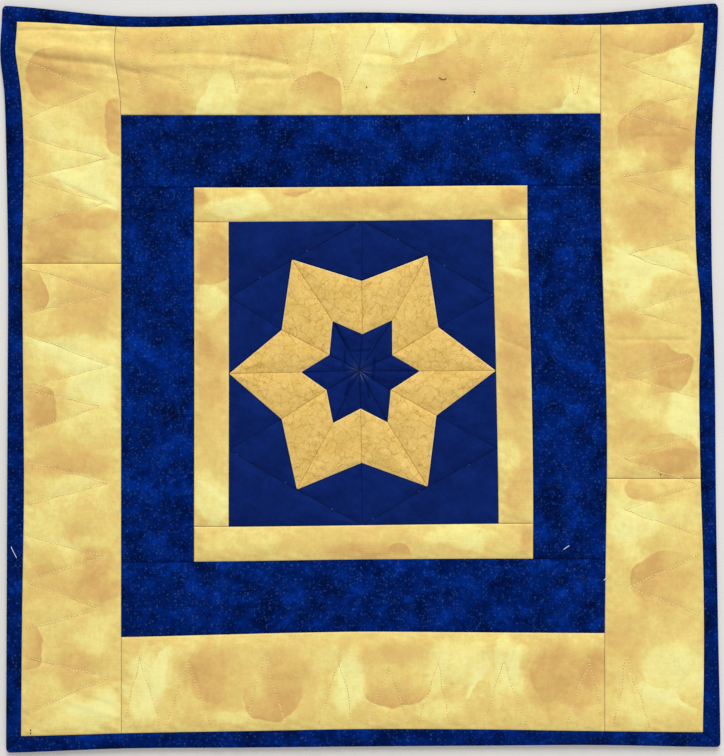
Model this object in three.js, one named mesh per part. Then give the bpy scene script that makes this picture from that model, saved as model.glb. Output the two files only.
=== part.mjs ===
// A small patchwork quilt lying flat: a filled body, fifty-four patches sewn on to it, and a folded binding.
// Millimetres, +Z up. The straight plan has its origin at the star's centre; lie() then moves each point to
// where the cloth really lies, because no side of the quilt is quite straight.
import * as THREE from "three";

// The pieced block: a six-pointed star in a hexagon.
const starTip = 95.3;
const starValley = 64.8;
const coreTip = 41.7;
const coreValley = 26.7;
const starPoints = 6;
const hexagonCorner = starTip / Math.cos(Math.PI / starPoints);

// Half sizes of the seams, from the block outwards, on each side of the star's centre.
const innerBorderWidth = 25;
const navyBorderWidth = 52;
const outerBorderWidth = { top: 63.5, right: 69, bottom: 71, left: 70.5 };
const bindingWidth = { top: 8.5, right: 11, bottom: 11.5, left: 11.2 };
const leftJoint = 79.8;
const rightJoint = -77.2;

// Heights through the quilt.
const bodyThickness = 2;
const seamGap = 0.3;
const seamHeight = 3.2;
const loft = 1.6;
const loftReach = 14;
const bindingHeight = 4.4;
const bindingUnderLeg = 0.9;
const bindingFold = 2.5;
const bindingClearance = 0.35;
// The binding's outer face, from its underside up: distance in from the edge, then share of its height.
const bindingFace = [
  [1.2, 0],
  [0.3, 0.18],
  [0, 0.47],
  [0.5, 0.75],
  [2, 0.94],
];
const bindingSeamRoll = 1;
const bindingSeamHeight = 3.25;
const tongueUnderside = bindingUnderLeg + seamGap;
const tongueClearance = 1;

// Longest steps of the meshes along a strip, a patch's edge and the binding.
const stripStep = 10;
const edgeStep = 15;
const bindingStep = 14;
const patchRing = 0.55;

// Chevrons sewn in the outer border, in the order first foot, tip, last foot along the side, then the tip's
// distance from the border's inner seam. Sides run from left to right or from bottom to top.
const chevronFoot = 5;
const chevrons = {
  top: [
    [-165, -156, -141, 15],
    [-139, -126, -121, 15],
    [-100, -89.5, -74, 15],
    [-62, -44, -34, 15],
    [-23, -12, 10, 15],
    [15, 31, 47, 15],
    [67, 81, 97, 13],
    [101, 109, 124, 16.5],
    [142, 154, 168, 14],
  ],
  right: [
    [-174.5, -155, -132, 16.5],
    [-118, -99.5, -82, 12],
    [-81, -62.5, -46, 12],
    [-18, -2.5, 12, 16],
    [31, 44.5, 59, 20],
    [69.5, 85, 97, 18.5],
    [121, 140.5, 149, 16],
    [174, 187, 200, 13.5],
    [203.5, 221.5, 237.5, 15],
  ],
  bottom: [
    [-171, -159, -143, 15],
    [-141, -124, -108, 18],
    [-83, -70, -54, 16.5],
    [-31, -16, -7, 18.5],
    [3, 18.5, 32, 25],
    [39, 53, 61, 21],
    [84.5, 99, 115, 21],
    [144, 161, 171, 18],
  ],
  left: [
    [-242, -216, -202, 8.5],
    [-182, -167, -149, 15.5],
    [-148, -131, -116, 14],
    [-94, -78.5, -64, 8.5],
    [-42, -24, -12.5, 15.5],
    [-11, 5.5, 28, 8.5],
    [44, 56.5, 78, 7.5],
    [108, 123.5, 140, 10.5],
    [142, 155.5, 171, 8.5],
    [185.5, 204, 224, 15.5],
  ],
};

// The bottom zigzag's last chevron, which lies in the corner, across the end of the right strip.
const cornerChevron = [178.5, 187, 203.5, 17];

// The navy border's zigzag: its repeat, its start past the strip's end, and its margins to the two seams.
const navyZigzag = { repeat: 37, start: 14, innerMargin: 11, outerMargin: 12 };

// How far each side lies outside the straight plan at even stations along it, at the block's edge, at the
// outer border's two seams and at the binding's rim.
const lies = {
  top: {
    block: [-1.8, -1.1, 0],
    seam: [-2.1, -2.1, -1],
    edge: [1.6, -2.2, -0.5, 0.6, 0.4, -0.8, 0.7],
    rim: [4.8, -2.7, -1.8, -0.1, -1.8, -0.7, 6.5],
  },
  right: {
    block: [2.4, 0.6, -1.9],
    seam: [1.7, 2.4, 3.2, 2.4, 0.3, -1.2, -1.2],
    edge: [3.3, 4, 4, 3.3, 1.9, 1, 0.7, 1.9, -1.4, -2.4, -2.4, 0.4, 3.7],
    rim: [5, 3.2, 1.7, 0.9, -1.4, -1.2, 3.4],
  },
  bottom: {
    block: [0.3, -0.8, -1.9],
    seam: [2.5, 1.1, -0.4, -1.4, -1.1, -0.7, -0.4],
    edge: [2.8, 0.6, -0.8, -2.2, -2, -0.8, 0],
    rim: [3.3, 0.2, -0.4, -1.2, -1.8, -2.2, -0.8],
  },
  left: {
    block: [0.5, 0.3, 0.5],
    seam: [0.7, 0.7, 0.7],
    edge: [2.2, 1.5, 0.2, 0.8, 1.3, 0.5, 4.6],
    rim: [1.8, 1.5, 1.1, 0.7, 0.5, 2, 4.5],
  },
};

// How far the sewn corners of the star stray from the even pattern, by twelfths of a turn from the right.
const stray = {
  centre: [-2.1, 1.8],
  star: [
    [0, 1.5],
    [-1.4, 0.6],
    [-0.2, 2.1],
    [-0.4, 1.8],
    [-2.7, 0],
    [-1.6, -1.2],
    [0, -0.6],
    [-1.6, -0.9],
    [0.9, -1.5],
    [-0.4, -0.3],
    [-1.8, -0.3],
    [-3.6, 1.2],
  ],
  core: [
    [-0.9, 1.2],
    [-1.8, -0.6],
    [0.5, 1.8],
    [0, 1.2],
    [-0.3, 1.2],
    [-0.3, -0.3],
    [-1.8, 0.4],
    [-2.4, 0.9],
    [0, 0],
    [-1.2, 0.9],
    [-3, 0.3],
    [-3, 0.9],
  ],
};

// The soft fold across one corner: its line in the plan, its height and half width, and the bulge of the edge
// there.
const cornerFold = { from: [-250, 231], to: [-153, 225], height: 1.6, halfWidth: 7 };
const cornerBulge = { at: [-250, 229], reach: 26, out: 2.4 };

const cloths = {
  marbled: { color: 0xe2cd6c, roughness: 0.9, metalness: 0 },
  speckled: { color: 0x1c2c5e, roughness: 0.9, metalness: 0 },
  navy: { color: 0x171f45, roughness: 0.9, metalness: 0 },
  gold: { color: 0xd9a93f, roughness: 0.9, metalness: 0 },
  backing: { color: 0x1c2450, roughness: 0.92, metalness: 0 },
};

const sides = ["top", "right", "bottom", "left"];
const isSideways = (side) => side === "left" || side === "right";

// The distance of a seam from the star's centre on one side: 0 block, 1 inner border, 2 navy border, 3 outer
// border, 4 the quilt's edge.
const seamRows = {};
for (const side of sides) {
  const block = isSideways(side) ? starTip : hexagonCorner;
  const outerSeam = block + innerBorderWidth + navyBorderWidth;
  const edge = outerSeam + outerBorderWidth[side];
  seamRows[side] = [block, block + innerBorderWidth, outerSeam, edge, edge + bindingWidth[side]];
}

// The two sides that end a side, at its lower and its upper end.
const endsOf = (side) => (isSideways(side) ? ["bottom", "top"] : ["left", "right"]);

// A plan point from the distance along a side and the distance outwards.
function onSide(side, along, out) {
  if (side === "top") return [along, out];
  if (side === "bottom") return [along, -out];
  return side === "right" ? [out, along] : [-out, along];
}

// A smooth curve through evenly spaced stations, at a place between -1 and 1.
function through(stations, place) {
  const last = stations.length - 1;
  const scaled = (THREE.MathUtils.clamp(place, -1, 1) + 1) * 0.5 * last;
  const i = Math.min(Math.floor(scaled), last - 1);
  const f = scaled - i;
  const [p0, p1, p2, p3] = [-1, 0, 1, 2].map((k) => stations[THREE.MathUtils.clamp(i + k, 0, last)]);
  const slope1 = (p2 - p0) / 2;
  const slope2 = (p3 - p1) / 2;
  return (
    p1 + f * (slope1 + f * (3 * (p2 - p1) - 2 * slope1 - slope2 + f * (2 * (p1 - p2) + slope1 + slope2)))
  );
}

// How far one side pushes a point outwards: nothing at the star's centre, growing from seam to seam.
function sidePush(side, along, out) {
  const [lowEnd, highEnd] = endsOf(side);
  const end = along < 0 ? lowEnd : highEnd;
  const table = lies[side];
  const knots = [
    [0, 0],
    [seamRows[side][0], through(table.block, along / seamRows[end][0])],
    [seamRows[side][2], through(table.seam, along / seamRows[end][2])],
    [seamRows[side][3], through(table.edge, along / seamRows[end][3])],
    [seamRows[side][4], through(table.rim, along / seamRows[end][4])],
  ];
  for (let i = 1; i < knots.length; i += 1) {
    const [before, after] = [knots[i - 1], knots[i]];
    if (out <= after[0]) {
      return THREE.MathUtils.mapLinear(out, before[0], after[0], before[1], after[1]);
    }
  }
  return knots[knots.length - 1][1];
}

const polar = (radius, turn) => [
  radius * Math.cos((turn * Math.PI) / starPoints),
  radius * Math.sin((turn * Math.PI) / starPoints),
];

// The block's triangles from corner to corner, each corner with how far it strays. The hexagon's corners and
// the block's own stay.
const starCorner = (turn) => ({
  at: polar(turn % 2 === 0 ? starTip : starValley, turn),
  by: stray.star[turn % stray.star.length],
});
const coreCorner = (turn) => ({
  at: polar(turn % 2 === 0 ? coreTip : coreValley, turn),
  by: stray.core[turn % stray.core.length],
});
const still = (at) => ({ at, by: [0, 0] });
const strayTriangles = [];
for (let sector = 0; sector < 2 * starPoints; sector += 1) {
  const [tip, valley] = sector % 2 === 0 ? [sector, sector + 1] : [sector + 1, sector];
  strayTriangles.push(
    [{ at: [0, 0], by: stray.centre }, coreCorner(tip), coreCorner(valley)],
    [coreCorner(tip), starCorner(tip), starCorner(valley)],
    [coreCorner(tip), starCorner(valley), coreCorner(valley)],
    [starCorner(tip), still(polar(hexagonCorner, valley)), starCorner(valley)],
  );
  if (tip % starPoints !== 0) {
    const [tipX, tipY] = polar(starTip, tip);
    const blockCorner = still([Math.sign(tipX) * starTip, Math.sign(tipY) * hexagonCorner]);
    strayTriangles.push([starCorner(tip), still(polar(hexagonCorner, valley)), blockCorner]);
  }
}

// How far a plan point goes with the corners of its triangle.
function strayAt(x, y) {
  for (const [a, b, c] of strayTriangles) {
    const [bx, by, cx, cy] = [b.at[0] - a.at[0], b.at[1] - a.at[1], c.at[0] - a.at[0], c.at[1] - a.at[1]];
    const [px, py] = [x - a.at[0], y - a.at[1]];
    const twiceArea = bx * cy - by * cx;
    const u = (px * cy - py * cx) / twiceArea;
    const v = (bx * py - by * px) / twiceArea;
    const slack = 1e-9;
    if (u >= -slack && v >= -slack && u + v <= 1 + slack) {
      return [0, 1].map((k) => a.by[k] * (1 - u - v) + b.by[k] * u + c.by[k] * v);
    }
  }
  return [0, 0];
}

// Where a plan point really lies.
function lie(x, y) {
  const sideways = x > 0 ? sidePush("right", y, x) : -sidePush("left", y, -x);
  const upward = y > 0 ? sidePush("top", x, y) : -sidePush("bottom", x, -y);
  const [strayX, strayY] = strayAt(x, y);
  const fromBulge = Math.hypot(x - cornerBulge.at[0], y - cornerBulge.at[1]) / cornerBulge.reach;
  const bulge = cornerBulge.out * Math.exp(-2 * fromBulge * fromBulge);
  return [x + sideways + strayX - bulge, y + upward + strayY];
}

// The zigzag sewn along a side's outer border, from end to end, as points along and outwards.
function chevronLine(side) {
  const [lowEnd, highEnd] = endsOf(side);
  const [, , innerSeam, outerSeam] = seamRows[side];
  const foot = outerSeam - chevronFoot;
  const reach = isSideways(side) ? 3 : 2;
  const points = [[-seamRows[lowEnd][reach], foot]];
  for (const [firstFoot, tip, lastFoot, tipGap] of chevrons[side]) {
    points.push([firstFoot, foot], [tip, innerSeam + tipGap], [lastFoot, foot]);
  }
  points.push([seamRows[highEnd][reach], foot]);
  return points;
}

// The zigzag sewn along a side's navy border.
function navyLine(side) {
  const [lowEnd, highEnd] = endsOf(side);
  const [, innerSeam, outerSeam] = seamRows[side];
  const reach = isSideways(side) ? 1 : 2;
  const low = -seamRows[lowEnd][reach];
  const high = seamRows[highEnd][reach];
  const { repeat, start, innerMargin, outerMargin } = navyZigzag;
  const rows = [innerSeam + innerMargin, outerSeam - outerMargin];
  const points = [[low, rows[0]]];
  for (let k = 0; low + start + (k * repeat) / 2 < high - start / 2; k += 1) {
    points.push([low + start + (k * repeat) / 2, rows[(k + 1) % 2]]);
  }
  points.push([high, rows[points.length % 2]]);
  return points;
}

// The zigzag's distance outwards at a place along the side.
function outAt(line, along) {
  for (let i = 1; i < line.length; i += 1) {
    const [from, to] = [line[i - 1], line[i]];
    if (along <= to[0]) {
      return to[0] > from[0] ? THREE.MathUtils.mapLinear(along, from[0], to[0], from[1], to[1]) : to[1];
    }
  }
  return line[line.length - 1][1];
}

// Every line that is sewn down, as plan segments.
const sewnLines = [];
const sew = (...points) => {
  for (let i = 1; i < points.length; i += 1) sewnLines.push([points[i - 1], points[i]]);
};
const chevronLines = {};
const navyLines = {};
for (const side of sides) {
  const [lowEnd, highEnd] = endsOf(side);
  for (let row = 0; row < 4; row += 1) {
    const out = seamRows[side][row];
    sew(onSide(side, -seamRows[lowEnd][row], out), onSide(side, seamRows[highEnd][row], out));
  }
  chevronLines[side] = chevronLine(side);
  navyLines[side] = navyLine(side);
  sew(...chevronLines[side].map(([along, out]) => onSide(side, along, out)));
  sew(...navyLines[side].map(([along, out]) => onSide(side, along, out)));
}
for (const end of ["top", "bottom"]) {
  for (const side of ["left", "right"]) {
    const endSign = end === "top" ? 1 : -1;
    const ringAlong = (row) => endSign * seamRows[end][row];
    sew(onSide(side, ringAlong(0), seamRows[side][0]), onSide(side, ringAlong(0), seamRows[side][1]));
    sew(onSide(side, ringAlong(1), seamRows[side][1]), onSide(side, ringAlong(1), seamRows[side][2]));
    sew(onSide(side, ringAlong(2), seamRows[side][2]), onSide(side, ringAlong(3), seamRows[side][2]));
  }
}
const [cornerFirst, cornerTip, cornerLast, cornerGap] = cornerChevron;
sew(
  onSide("bottom", cornerFirst, seamRows.bottom[3] - chevronFoot),
  onSide("bottom", cornerTip, seamRows.bottom[2] + cornerGap),
  onSide("bottom", cornerLast, seamRows.bottom[3] - chevronFoot),
);
sew(onSide("left", leftJoint, seamRows.left[2]), onSide("left", leftJoint, seamRows.left[3]));
sew(onSide("right", rightJoint, seamRows.right[2]), onSide("right", rightJoint, seamRows.right[3]));
for (let turn = 0; turn < 2 * starPoints; turn += 2) {
  sew([0, 0], polar(starTip, turn));
  sew([0, 0], polar(hexagonCorner, turn + 1));
  sew(polar(hexagonCorner, turn - 1), polar(hexagonCorner, turn + 1));
  sew(polar(starValley, turn - 1), polar(starTip, turn), polar(starValley, turn + 1));
  sew(polar(coreValley, turn - 1), polar(coreTip, turn), polar(coreValley, turn + 1));
}

function distanceToSegment([x, y], [[x0, y0], [x1, y1]]) {
  const [dx, dy] = [x1 - x0, y1 - y0];
  const length2 = dx * dx + dy * dy;
  const t = length2 > 0 ? THREE.MathUtils.clamp(((x - x0) * dx + (y - y0) * dy) / length2, 0, 1) : 0;
  return Math.hypot(x - x0 - t * dx, y - y0 - t * dy);
}

// The height of the patches' tops: low along what is sewn, full between, with a soft ridge on the corner's
// fold.
function heightAt(x, y) {
  const near = Math.min(...sewnLines.map((line) => distanceToSegment([x, y], line)));
  const slack = 1 - Math.min(near / loftReach, 1);
  const fold = distanceToSegment([x, y], [cornerFold.from, cornerFold.to]) / cornerFold.halfWidth;
  return seamHeight + loft * (1 - slack * slack) + cornerFold.height * Math.exp(-fold * fold);
}

// Collects the corners and triangles of one closed mesh.
class Skin {
  positions = [];
  triangles = [];

  add(planX, planY, z) {
    const [x, y] = lie(planX, planY);
    this.positions.push(x, y, z);
    return this.positions.length / 3 - 1;
  }

  quad(a, b, c, d) {
    this.triangles.push(a, b, c, a, c, d);
  }

  // Quads between two loops or rows of equal length.
  band(lower, upper, closed) {
    const count = closed ? lower.length : lower.length - 1;
    for (let i = 0; i < count; i += 1) {
      const next = (i + 1) % lower.length;
      this.quad(lower[i], lower[next], upper[next], upper[i]);
    }
  }

  // Triangles from a loop to one middle point.
  fan(loop, middle) {
    loop.forEach((corner, i) => this.triangles.push(corner, loop[(i + 1) % loop.length], middle));
  }

  mesh(name, cloth) {
    const geometry = new THREE.BufferGeometry();
    geometry.setAttribute("position", new THREE.Float32BufferAttribute(this.positions, 3));
    geometry.setIndex(this.triangles);
    geometry.computeVertexNormals();
    const mesh = new THREE.Mesh(geometry, new THREE.MeshStandardMaterial(cloths[cloth]));
    mesh.name = name;
    return mesh;
  }
}

const patchUnderside = bodyThickness + seamGap;

// Even steps from one value to another, both ends included.
function steps(from, to, longest) {
  const count = Math.max(1, Math.ceil(Math.abs(to - from) / longest));
  return Array.from({ length: count + 1 }, (_, i) => from + ((to - from) * i) / count);
}

// A border strip between two places along its side. Each column runs outwards from seam to seam, with a point
// on the sewn zigzag, if the strip has one, and a point halfway between lines.
function stripPatch(name, cloth, side, row, [low, high], zigzag) {
  const half = seamGap / 2;
  const [from, to] = [low + half, high - half];
  const inner = seamRows[side][row] + half;
  const outer = seamRows[side][row + 1] - (row === 2 ? bindingClearance - half : half);
  const breaks = [from, ...(zigzag ?? []).map(([along]) => along), to].filter((a) => a >= from && a <= to);
  breaks.sort((a, b) => a - b);
  const places = [from];
  for (let i = 1; i < breaks.length; i += 1) {
    const [before, after] = [breaks[i - 1], breaks[i]];
    if (after - before > seamGap) places.push(...steps(before, after, stripStep).slice(1));
  }
  const skin = new Skin();
  const columns = places.map((along) => {
    const lines = zigzag ? [inner, outAt(zigzag, along), outer] : [inner, outer];
    const outs = [inner];
    for (let i = 1; i < lines.length; i += 1) outs.push((lines[i - 1] + lines[i]) / 2, lines[i]);
    const tops = outs.map((out) => {
      const [x, y] = onSide(side, along, out);
      return skin.add(x, y, heightAt(x, y));
    });
    const [innerFoot, outerFoot] = [inner, outer].map((out) =>
      skin.add(...onSide(side, along, out), patchUnderside),
    );
    return [...tops, outerFoot, innerFoot];
  });
  for (let i = 1; i < columns.length; i += 1) skin.band(columns[i - 1], columns[i], true);
  const capFan = (column) => {
    for (let i = 1; i < column.length - 1; i += 1) skin.triangles.push(column[0], column[i], column[i + 1]);
  };
  capFan([...columns[0]].reverse());
  capFan(columns[columns.length - 1]);
  return facingOut(skin).mesh(name, cloth);
}

// Turns a mesh's triangles round if its volume comes out negative.
function facingOut(skin) {
  const corner = (i) => new THREE.Vector3().fromArray(skin.positions, 3 * i);
  let volume = 0;
  for (let i = 0; i < skin.triangles.length; i += 3) {
    const [a, b, c] = skin.triangles.slice(i, i + 3).map(corner);
    volume += a.dot(b.cross(c));
  }
  if (volume < 0) skin.triangles.reverse();
  return skin;
}

// A convex outline drawn in on every edge.
function drawnIn(corners, amount) {
  const lines = corners.map(([x, y], i) => {
    const [nextX, nextY] = corners[(i + 1) % corners.length];
    const length = Math.hypot(nextX - x, nextY - y);
    const [dx, dy] = [(nextX - x) / length, (nextY - y) / length];
    return { x: x - dy * amount, y: y + dx * amount, dx, dy };
  });
  return lines.map((line, i) => {
    const before = lines[(i + lines.length - 1) % lines.length];
    const cross = before.dx * line.dy - before.dy * line.dx;
    const t = ((line.x - before.x) * line.dy - (line.y - before.y) * line.dx) / cross;
    return [before.x + t * before.dx, before.y + t * before.dy];
  });
}

// A convex patch of the block: its edge, one ring inside it and a middle point, all at their own heights.
function blockPatch(name, cloth, corners) {
  const outline = drawnIn(corners, seamGap / 2);
  const edge = outline.flatMap(([x, y], i) => {
    const [nextX, nextY] = outline[(i + 1) % outline.length];
    const places = steps(0, Math.hypot(nextX - x, nextY - y), edgeStep);
    const length = places[places.length - 1];
    return places.slice(0, -1).map((p) => [x + ((nextX - x) * p) / length, y + ((nextY - y) * p) / length]);
  });
  const middle = [0, 1].map((k) => outline.reduce((sum, corner) => sum + corner[k], 0) / outline.length);
  const ring = edge.map((point) => point.map((value, k) => middle[k] + (value - middle[k]) * patchRing));
  const skin = new Skin();
  const feet = edge.map(([x, y]) => skin.add(x, y, patchUnderside));
  const rims = edge.map(([x, y]) => skin.add(x, y, heightAt(x, y)));
  const rings = ring.map(([x, y]) => skin.add(x, y, heightAt(x, y)));
  skin.fan([...feet].reverse(), skin.add(...middle, patchUnderside));
  skin.band(feet, rims, true);
  skin.band(rims, rings, true);
  skin.fan(rings, skin.add(...middle, heightAt(...middle)));
  return skin.mesh(name, cloth);
}

// The filled body: its underside lies flat, and its edge is a thin tongue that goes into the binding's fold.
function quiltBody() {
  const loopAt = (outOf) => {
    const [left, right, bottom, top] = [-outOf("left"), outOf("right"), -outOf("bottom"), outOf("top")];
    const count = Math.ceil((seamRows.top[4] + seamRows.bottom[4]) / bindingStep);
    const run = (from, to) =>
      Array.from({ length: count }, (_, i) => [
        from[0] + ((to[0] - from[0]) * i) / count,
        from[1] + ((to[1] - from[1]) * i) / count,
      ]);
    const corners = [
      [left, bottom],
      [right, bottom],
      [right, top],
      [left, top],
    ];
    return corners.flatMap((from, i) => run(from, corners[(i + 1) % corners.length]));
  };
  const underside = loopAt((side) => seamRows[side][3] - bindingClearance);
  const tongue = loopAt((side) => seamRows[side][4] - bindingFold - tongueClearance);
  const skin = new Skin();
  const foot = underside.map(([x, y]) => skin.add(x, y, 0));
  const step = underside.map(([x, y]) => skin.add(x, y, tongueUnderside));
  const tongueLow = tongue.map(([x, y]) => skin.add(x, y, tongueUnderside));
  const tongueHigh = tongue.map(([x, y]) => skin.add(x, y, bodyThickness));
  skin.fan([...foot].reverse(), skin.add(0, 0, 0));
  skin.band(foot, step, true);
  skin.band(step, tongueLow, true);
  skin.band(tongueLow, tongueHigh, true);
  skin.fan(tongueHigh, skin.add(0, 0, bodyThickness));
  return skin.mesh("quilt_body", "backing");
}

// One side's binding: a strip folded round the edge, swept between the two mitred corners.
function bindingStrip(side) {
  const [, , , inner, outer] = seamRows[side];
  const near = inner + seamGap / 2;
  const slotTop = bodyThickness + seamGap;
  const section = [
    [near, 0],
    ...bindingFace.map(([inward, share]) => [outer - inward, bindingHeight * share]),
    [(near + outer) / 2, bindingHeight],
    [near + bindingSeamRoll, (bindingHeight + bindingSeamHeight) / 2],
    [near, bindingSeamHeight],
    [near, slotTop],
    [outer - bindingFold, slotTop],
    [outer - bindingFold, bindingUnderLeg],
    [near, bindingUnderLeg],
  ];
  const [lowEnd, highEnd] = endsOf(side);
  const mitre = (end, out) =>
    THREE.MathUtils.mapLinear(out, inner, outer, seamRows[end][3], seamRows[end][4]) - seamGap / 2;
  const places = steps(0, 1, bindingStep / (seamRows[lowEnd][4] + seamRows[highEnd][4]));
  const skin = new Skin();
  const rings = places.map((place) =>
    section.map(([out, z]) => {
      const along = THREE.MathUtils.lerp(-mitre(lowEnd, out), mitre(highEnd, out), place);
      return skin.add(...onSide(side, along, out), z);
    }),
  );
  for (let i = 1; i < rings.length; i += 1) skin.band(rings[i - 1], rings[i], true);
  const shape = section.map(([out, z]) => new THREE.Vector2(out, z));
  for (const [a, b, c] of THREE.ShapeUtils.triangulateShape(shape, [])) {
    const last = rings[rings.length - 1];
    skin.triangles.push(rings[0][c], rings[0][b], rings[0][a], last[a], last[b], last[c]);
  }
  return facingOut(skin).mesh(`binding_${side}`, "speckled");
}

const quilt = new THREE.Group();
quilt.add(quiltBody());
for (const side of sides) quilt.add(bindingStrip(side));

// Borders: whose ends run through at each corner decides how far a strip reaches.
for (const side of sides) {
  const [lowEnd, highEnd] = endsOf(side);
  const reach = (row) => [-seamRows[lowEnd][row], seamRows[highEnd][row]];
  const runsThrough = isSideways(side) ? 0 : 1;
  quilt.add(stripPatch(`inner_border_${side}`, "marbled", side, 0, reach(runsThrough)));
  quilt.add(stripPatch(`navy_border_${side}`, "speckled", side, 1, reach(1 + runsThrough), navyLines[side]));
}
const sideReach = [-seamRows.bottom[3] + bindingClearance, seamRows.top[3] - bindingClearance];
const acrossReach = [-seamRows.left[2], seamRows.right[2]];
for (const side of ["top", "bottom"]) {
  quilt.add(stripPatch(`outer_border_${side}`, "marbled", side, 2, acrossReach, chevronLines[side]));
}
for (const [side, joint] of [
  ["left", leftJoint],
  ["right", rightJoint],
]) {
  const [low, high] = sideReach;
  quilt.add(
    stripPatch(`outer_border_${side}_lower`, "marbled", side, 2, [low, joint], chevronLines[side]),
    stripPatch(`outer_border_${side}_upper`, "marbled", side, 2, [joint, high], chevronLines[side]),
  );
}

// The block's four corners, outside the hexagon.
for (const [name, signX, signY] of [
  ["ne", 1, 1],
  ["nw", -1, 1],
  ["sw", -1, -1],
  ["se", 1, -1],
]) {
  const corner = [signX * starTip, signY * hexagonCorner];
  const besideTop = [0, signY * hexagonCorner];
  const besideSide = [signX * starTip, signY * polar(hexagonCorner, 1)[1]];
  const corners = signX * signY > 0 ? [corner, besideTop, besideSide] : [corner, besideSide, besideTop];
  quilt.add(blockPatch(`block_corner_${name}`, "navy", corners));
}

// The star: twelve like sectors, every other one turned over.
for (let sector = 0; sector < 2 * starPoints; sector += 1) {
  const tipTurn = sector % 2 === 0 ? sector : sector + 1;
  const valleyTurn = sector % 2 === 0 ? sector + 1 : sector;
  const number = String(sector + 1).padStart(2, "0");
  const [tip, valley] = [polar(starTip, tipTurn), polar(starValley, valleyTurn)];
  const [innerTip, innerValley] = [polar(coreTip, tipTurn), polar(coreValley, valleyTurn)];
  const ordered = (corners) => (sector % 2 === 0 ? corners : corners.reverse());
  quilt.add(
    blockPatch(`ground_triangle_${number}`, "navy", ordered([tip, polar(hexagonCorner, valleyTurn), valley])),
    blockPatch(`star_kite_${number}`, "gold", ordered([tip, valley, innerValley, innerTip])),
    blockPatch(`core_wedge_${number}`, "navy", ordered([[0, 0], innerTip, innerValley])),
  );
}

// The part's origin is the middle of its underside.
const box = new THREE.Box3().setFromObject(quilt);
quilt.position.set(-(box.min.x + box.max.x) / 2, -(box.min.y + box.max.y) / 2, 0);

export default quilt;
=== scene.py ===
import math

import bpy
import numpy as np
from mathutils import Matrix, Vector


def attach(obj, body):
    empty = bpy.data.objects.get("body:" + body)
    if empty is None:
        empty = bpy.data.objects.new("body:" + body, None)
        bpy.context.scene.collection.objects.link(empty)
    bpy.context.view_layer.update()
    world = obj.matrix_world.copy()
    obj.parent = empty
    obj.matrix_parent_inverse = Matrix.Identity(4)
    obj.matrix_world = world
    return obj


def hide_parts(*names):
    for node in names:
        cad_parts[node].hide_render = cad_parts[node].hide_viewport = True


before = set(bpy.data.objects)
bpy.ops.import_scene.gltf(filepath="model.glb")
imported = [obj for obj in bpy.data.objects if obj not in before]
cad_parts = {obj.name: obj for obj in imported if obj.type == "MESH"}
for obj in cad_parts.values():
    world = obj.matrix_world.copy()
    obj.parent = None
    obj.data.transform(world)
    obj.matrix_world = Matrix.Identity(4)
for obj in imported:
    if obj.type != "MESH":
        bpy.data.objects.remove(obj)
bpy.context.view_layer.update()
print("frame loaded,", len(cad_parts), "nodes")

mm = 0.001
tau = 2 * math.pi
sides = ("top", "right", "bottom", "left")


# The straight plan in millimetres, with the star's centre at its origin
plan = {
    "starTip": 95.3,
    "starValley": 64.8,
    "coreTip": 41.7,
    "coreValley": 26.7,
    "innerBorder": 25,
    "navyBorder": 52,
    "outerBorder": {"top": 63.5, "right": 69, "bottom": 71, "left": 70.5},
    "binding": {"top": 8.5, "right": 11, "bottom": 11.5, "left": 11.2},
    "leftJoint": 79.8,
    "rightJoint": -77.2,
}
hexagonCorner = plan["starTip"] / math.cos(math.pi / 6)


def isSideways(side):
    return side in ("left", "right")


def endsOf(side):
    return ("bottom", "top") if isSideways(side) else ("left", "right")


# distance of each seam from the star's centre: block, inner border, navy border, outer border, rim
seamRows = {}
for side in sides:
    block = plan["starTip"] if isSideways(side) else hexagonCorner
    navySeam = block + plan["innerBorder"]
    outerSeam = navySeam + plan["navyBorder"]
    bindingSeam = outerSeam + plan["outerBorder"][side]
    seamRows[side] = [block, navySeam, outerSeam, bindingSeam, bindingSeam + plan["binding"][side]]


def onSide(side, along, out):
    if side == "top":
        return along, out
    if side == "bottom":
        return along, -out
    return (out, along) if side == "right" else (-out, along)


def polar(radius, turn):
    return radius * math.cos(turn * math.pi / 6), radius * math.sin(turn * math.pi / 6)


# How far each side lies outside the straight plan, at even stations along it
lies = {
    "top": {
        "block": [-1.8, -1.1, 0],
        "seam": [-2.1, -2.1, -1],
        "edge": [1.6, -2.2, -0.5, 0.6, 0.4, -0.8, 0.7],
        "rim": [4.8, -2.7, -1.8, -0.1, -1.8, -0.7, 6.5],
    },
    "right": {
        "block": [2.4, 0.6, -1.9],
        "seam": [1.7, 2.4, 3.2, 2.4, 0.3, -1.2, -1.2],
        "edge": [3.3, 4, 4, 3.3, 1.9, 1, 0.7, 1.9, -1.4, -2.4, -2.4, 0.4, 3.7],
        "rim": [5, 3.2, 1.7, 0.9, -1.4, -1.2, 3.4],
    },
    "bottom": {
        "block": [0.3, -0.8, -1.9],
        "seam": [2.5, 1.1, -0.4, -1.4, -1.1, -0.7, -0.4],
        "edge": [2.8, 0.6, -0.8, -2.2, -2, -0.8, 0],
        "rim": [3.3, 0.2, -0.4, -1.2, -1.8, -2.2, -0.8],
    },
    "left": {
        "block": [0.5, 0.3, 0.5],
        "seam": [0.7, 0.7, 0.7],
        "edge": [2.2, 1.5, 0.2, 0.8, 1.3, 0.5, 4.6],
        "rim": [1.8, 1.5, 1.1, 0.7, 0.5, 2, 4.5],
    },
}
# the fold at one corner tugs the edge and the seam beside it to the left: x, y, reach, tug
cornerTugs = [(-250, 229, 26, 2.4), (-174, 236, 40, 5)]

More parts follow.
